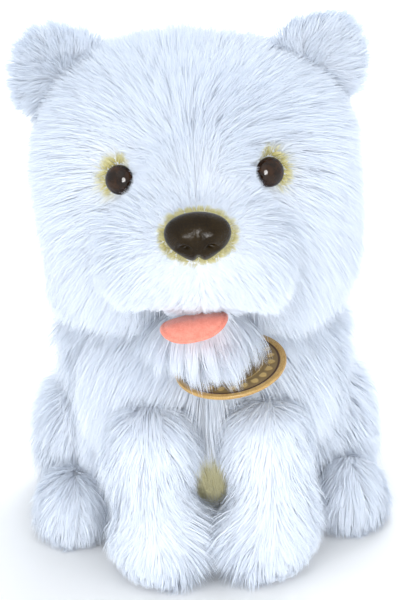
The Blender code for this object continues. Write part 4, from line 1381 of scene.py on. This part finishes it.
for side, word in SIDES:
    head, torso, leg = FORMS["head"], FORMS["torso"], "hind_leg_" + word
    grow_coat("face_pile_" + word, head, "head", 37000, comb_head, side_only(side, on_face),
              width=0.00036)
    grow_coat("nape_pile_" + word, head, "head", 20000, comb_head, side_only(side, on_head_back),
              width=0.00044, steps=2, shortest=0.52, shaggy=0.42)
    grow_coat("muzzle_pile_" + word, head, "head", 26000, comb_muzzle, side_only(side, on_muzzle),
              width=0.00030, tuft=0.0045, shortest=0.55)
    grow_coat("chest_pile_" + word, torso, "torso", 22000, comb_body, side_only(side, on_chest),
              shaggy=0.25)
    grow_coat("back_pile_" + word, torso, "torso", 18000, comb_body, side_only(side, on_back),
              width=0.00046, steps=2, shaggy=0.35)
    grow_coat("foreleg_pile_" + word, FORMS["foreleg_" + word], "foreleg_" + word, 19000, comb_leg,
              above_sole, width=0.00038)
    grow_coat("thigh_pile_" + word, FORMS["thigh_" + word], leg, 10000, comb_haunch, width=0.00046)
    grow_coat("foot_pile_" + word, FORMS["foot_" + word], leg, 8000, comb_foot, above_sole)
    grow_coat("ear_pile_" + word, FORMS["ear_" + word], "ear_" + word, 9000, comb_ear(side))
grow_coat("beard_pile", FORMS["head"], "head", 11000, comb_beard, on_chin, width=0.00030, tuft=0.0046,
          gather=0.70, shortest=0.50, thinning=1.3, steps=4, shaggy=0.30)
grow_coat("tail_pile", FORMS["tail"], "tail", 9000, comb_tail, width=0.00046, gather=0.32, shaggy=0.30)
print("pile triangles in all:", sum(COAT_FACES))

# %% [markdown]
# ## Stage
# A pale floor curves up into a backdrop under a bright, even sky. Large soft lamps stand in front, above
# and behind. One lamp gives no diffuse light and shows only as a glint on the eyes and the nose, and a low
# spot keeps the chest and the paws as bright as the face.

# %% Stage
FLOOR_REACH = 6.0
FLOOR_BACK = 4.0
SWEEP_RADIUS = 1.5
WALL_TOP = 5.0


def build_stage():
    """A floor, a quarter circle behind it, and a wall."""
    floor_y = np.linspace(-FLOOR_REACH, FLOOR_BACK, 8)
    bend = np.linspace(0.0, math.pi / 2.0, 12)[1:]
    along = np.concatenate([floor_y, FLOOR_BACK + SWEEP_RADIUS * np.sin(bend), [FLOOR_BACK + SWEEP_RADIUS]])
    height = np.concatenate([floor_y * 0.0, SWEEP_RADIUS * (1.0 - np.cos(bend)), [WALL_TOP]])
    across = np.linspace(-FLOOR_REACH, FLOOR_REACH, 3)
    points = np.stack(np.broadcast_arrays(across, along[:, None], height[:, None]), axis=-1)
    material, shader, start = new_finish("backdrop_paper", 0.9, specular=0.1)
    grain = start.place().noise(60.0, 3.0)
    connect(grain.mix(rgb(0.93, 0.93, 0.93), rgb(0.95, 0.95, 0.95)), shader, "Base Color")
    floor = new_object("floor", grid_piece("floor", points, material, closed_columns=False))


def add_lamp(name, place, size, power, colour=(1.0, 1.0, 1.0), aim=AIM, beam=None):
    """A round soft lamp that faces its aim; with a beam's angle, a spot that fades to its edge."""
    lamp = bpy.data.lights.new(name, "SPOT" if beam else "AREA")
    lamp.energy = power
    lamp.color = colour
    if beam:
        lamp.spot_size = beam
        lamp.spot_blend = 1.0
        lamp.shadow_soft_size = size
    else:
        lamp.shape = "DISK"
        lamp.size = size
    holder = new_object(name, lamp)
    holder.location = place
    holder.rotation_euler = (Vector(place) - aim).to_track_quat("Z", "Y").to_euler()
    return holder


build_stage()
SKY_STRENGTH = 1.12
COOL_WHITE = (0.96, 0.98, 1.0)
sky = bpy.data.worlds.new("sky")
sky.use_nodes = True
sky_light = sky.node_tree.nodes["Background"].inputs
sky_light["Color"].default_value = (0.915, 0.955, 1.0, 1.0)
sky_light["Strength"].default_value = SKY_STRENGTH
bpy.context.scene.world = sky
add_lamp("front_lamp", (0.12, -1.25, 0.26), 0.36, 1.9, (1.0, 0.99, 0.98))
add_lamp("catch_lamp", (0.02, -1.20, 0.42), 0.50, 14.0).visible_diffuse = False
add_lamp("top_lamp", (-0.45, -0.9, 1.15), 1.2, 1.4, COOL_WHITE)
add_lamp("low_lamp", (-0.10, -1.20, 0.12), 0.12, 21.0, aim=Vector((0.0, -0.03, 0.055)),
         beam=math.radians(16.5))
add_lamp("back_lamp", (0.35, 1.15, 0.8), 1.2, 12.0, COOL_WHITE)
bpy.context.scene.view_settings.view_transform = "Standard"
print("lamps set")
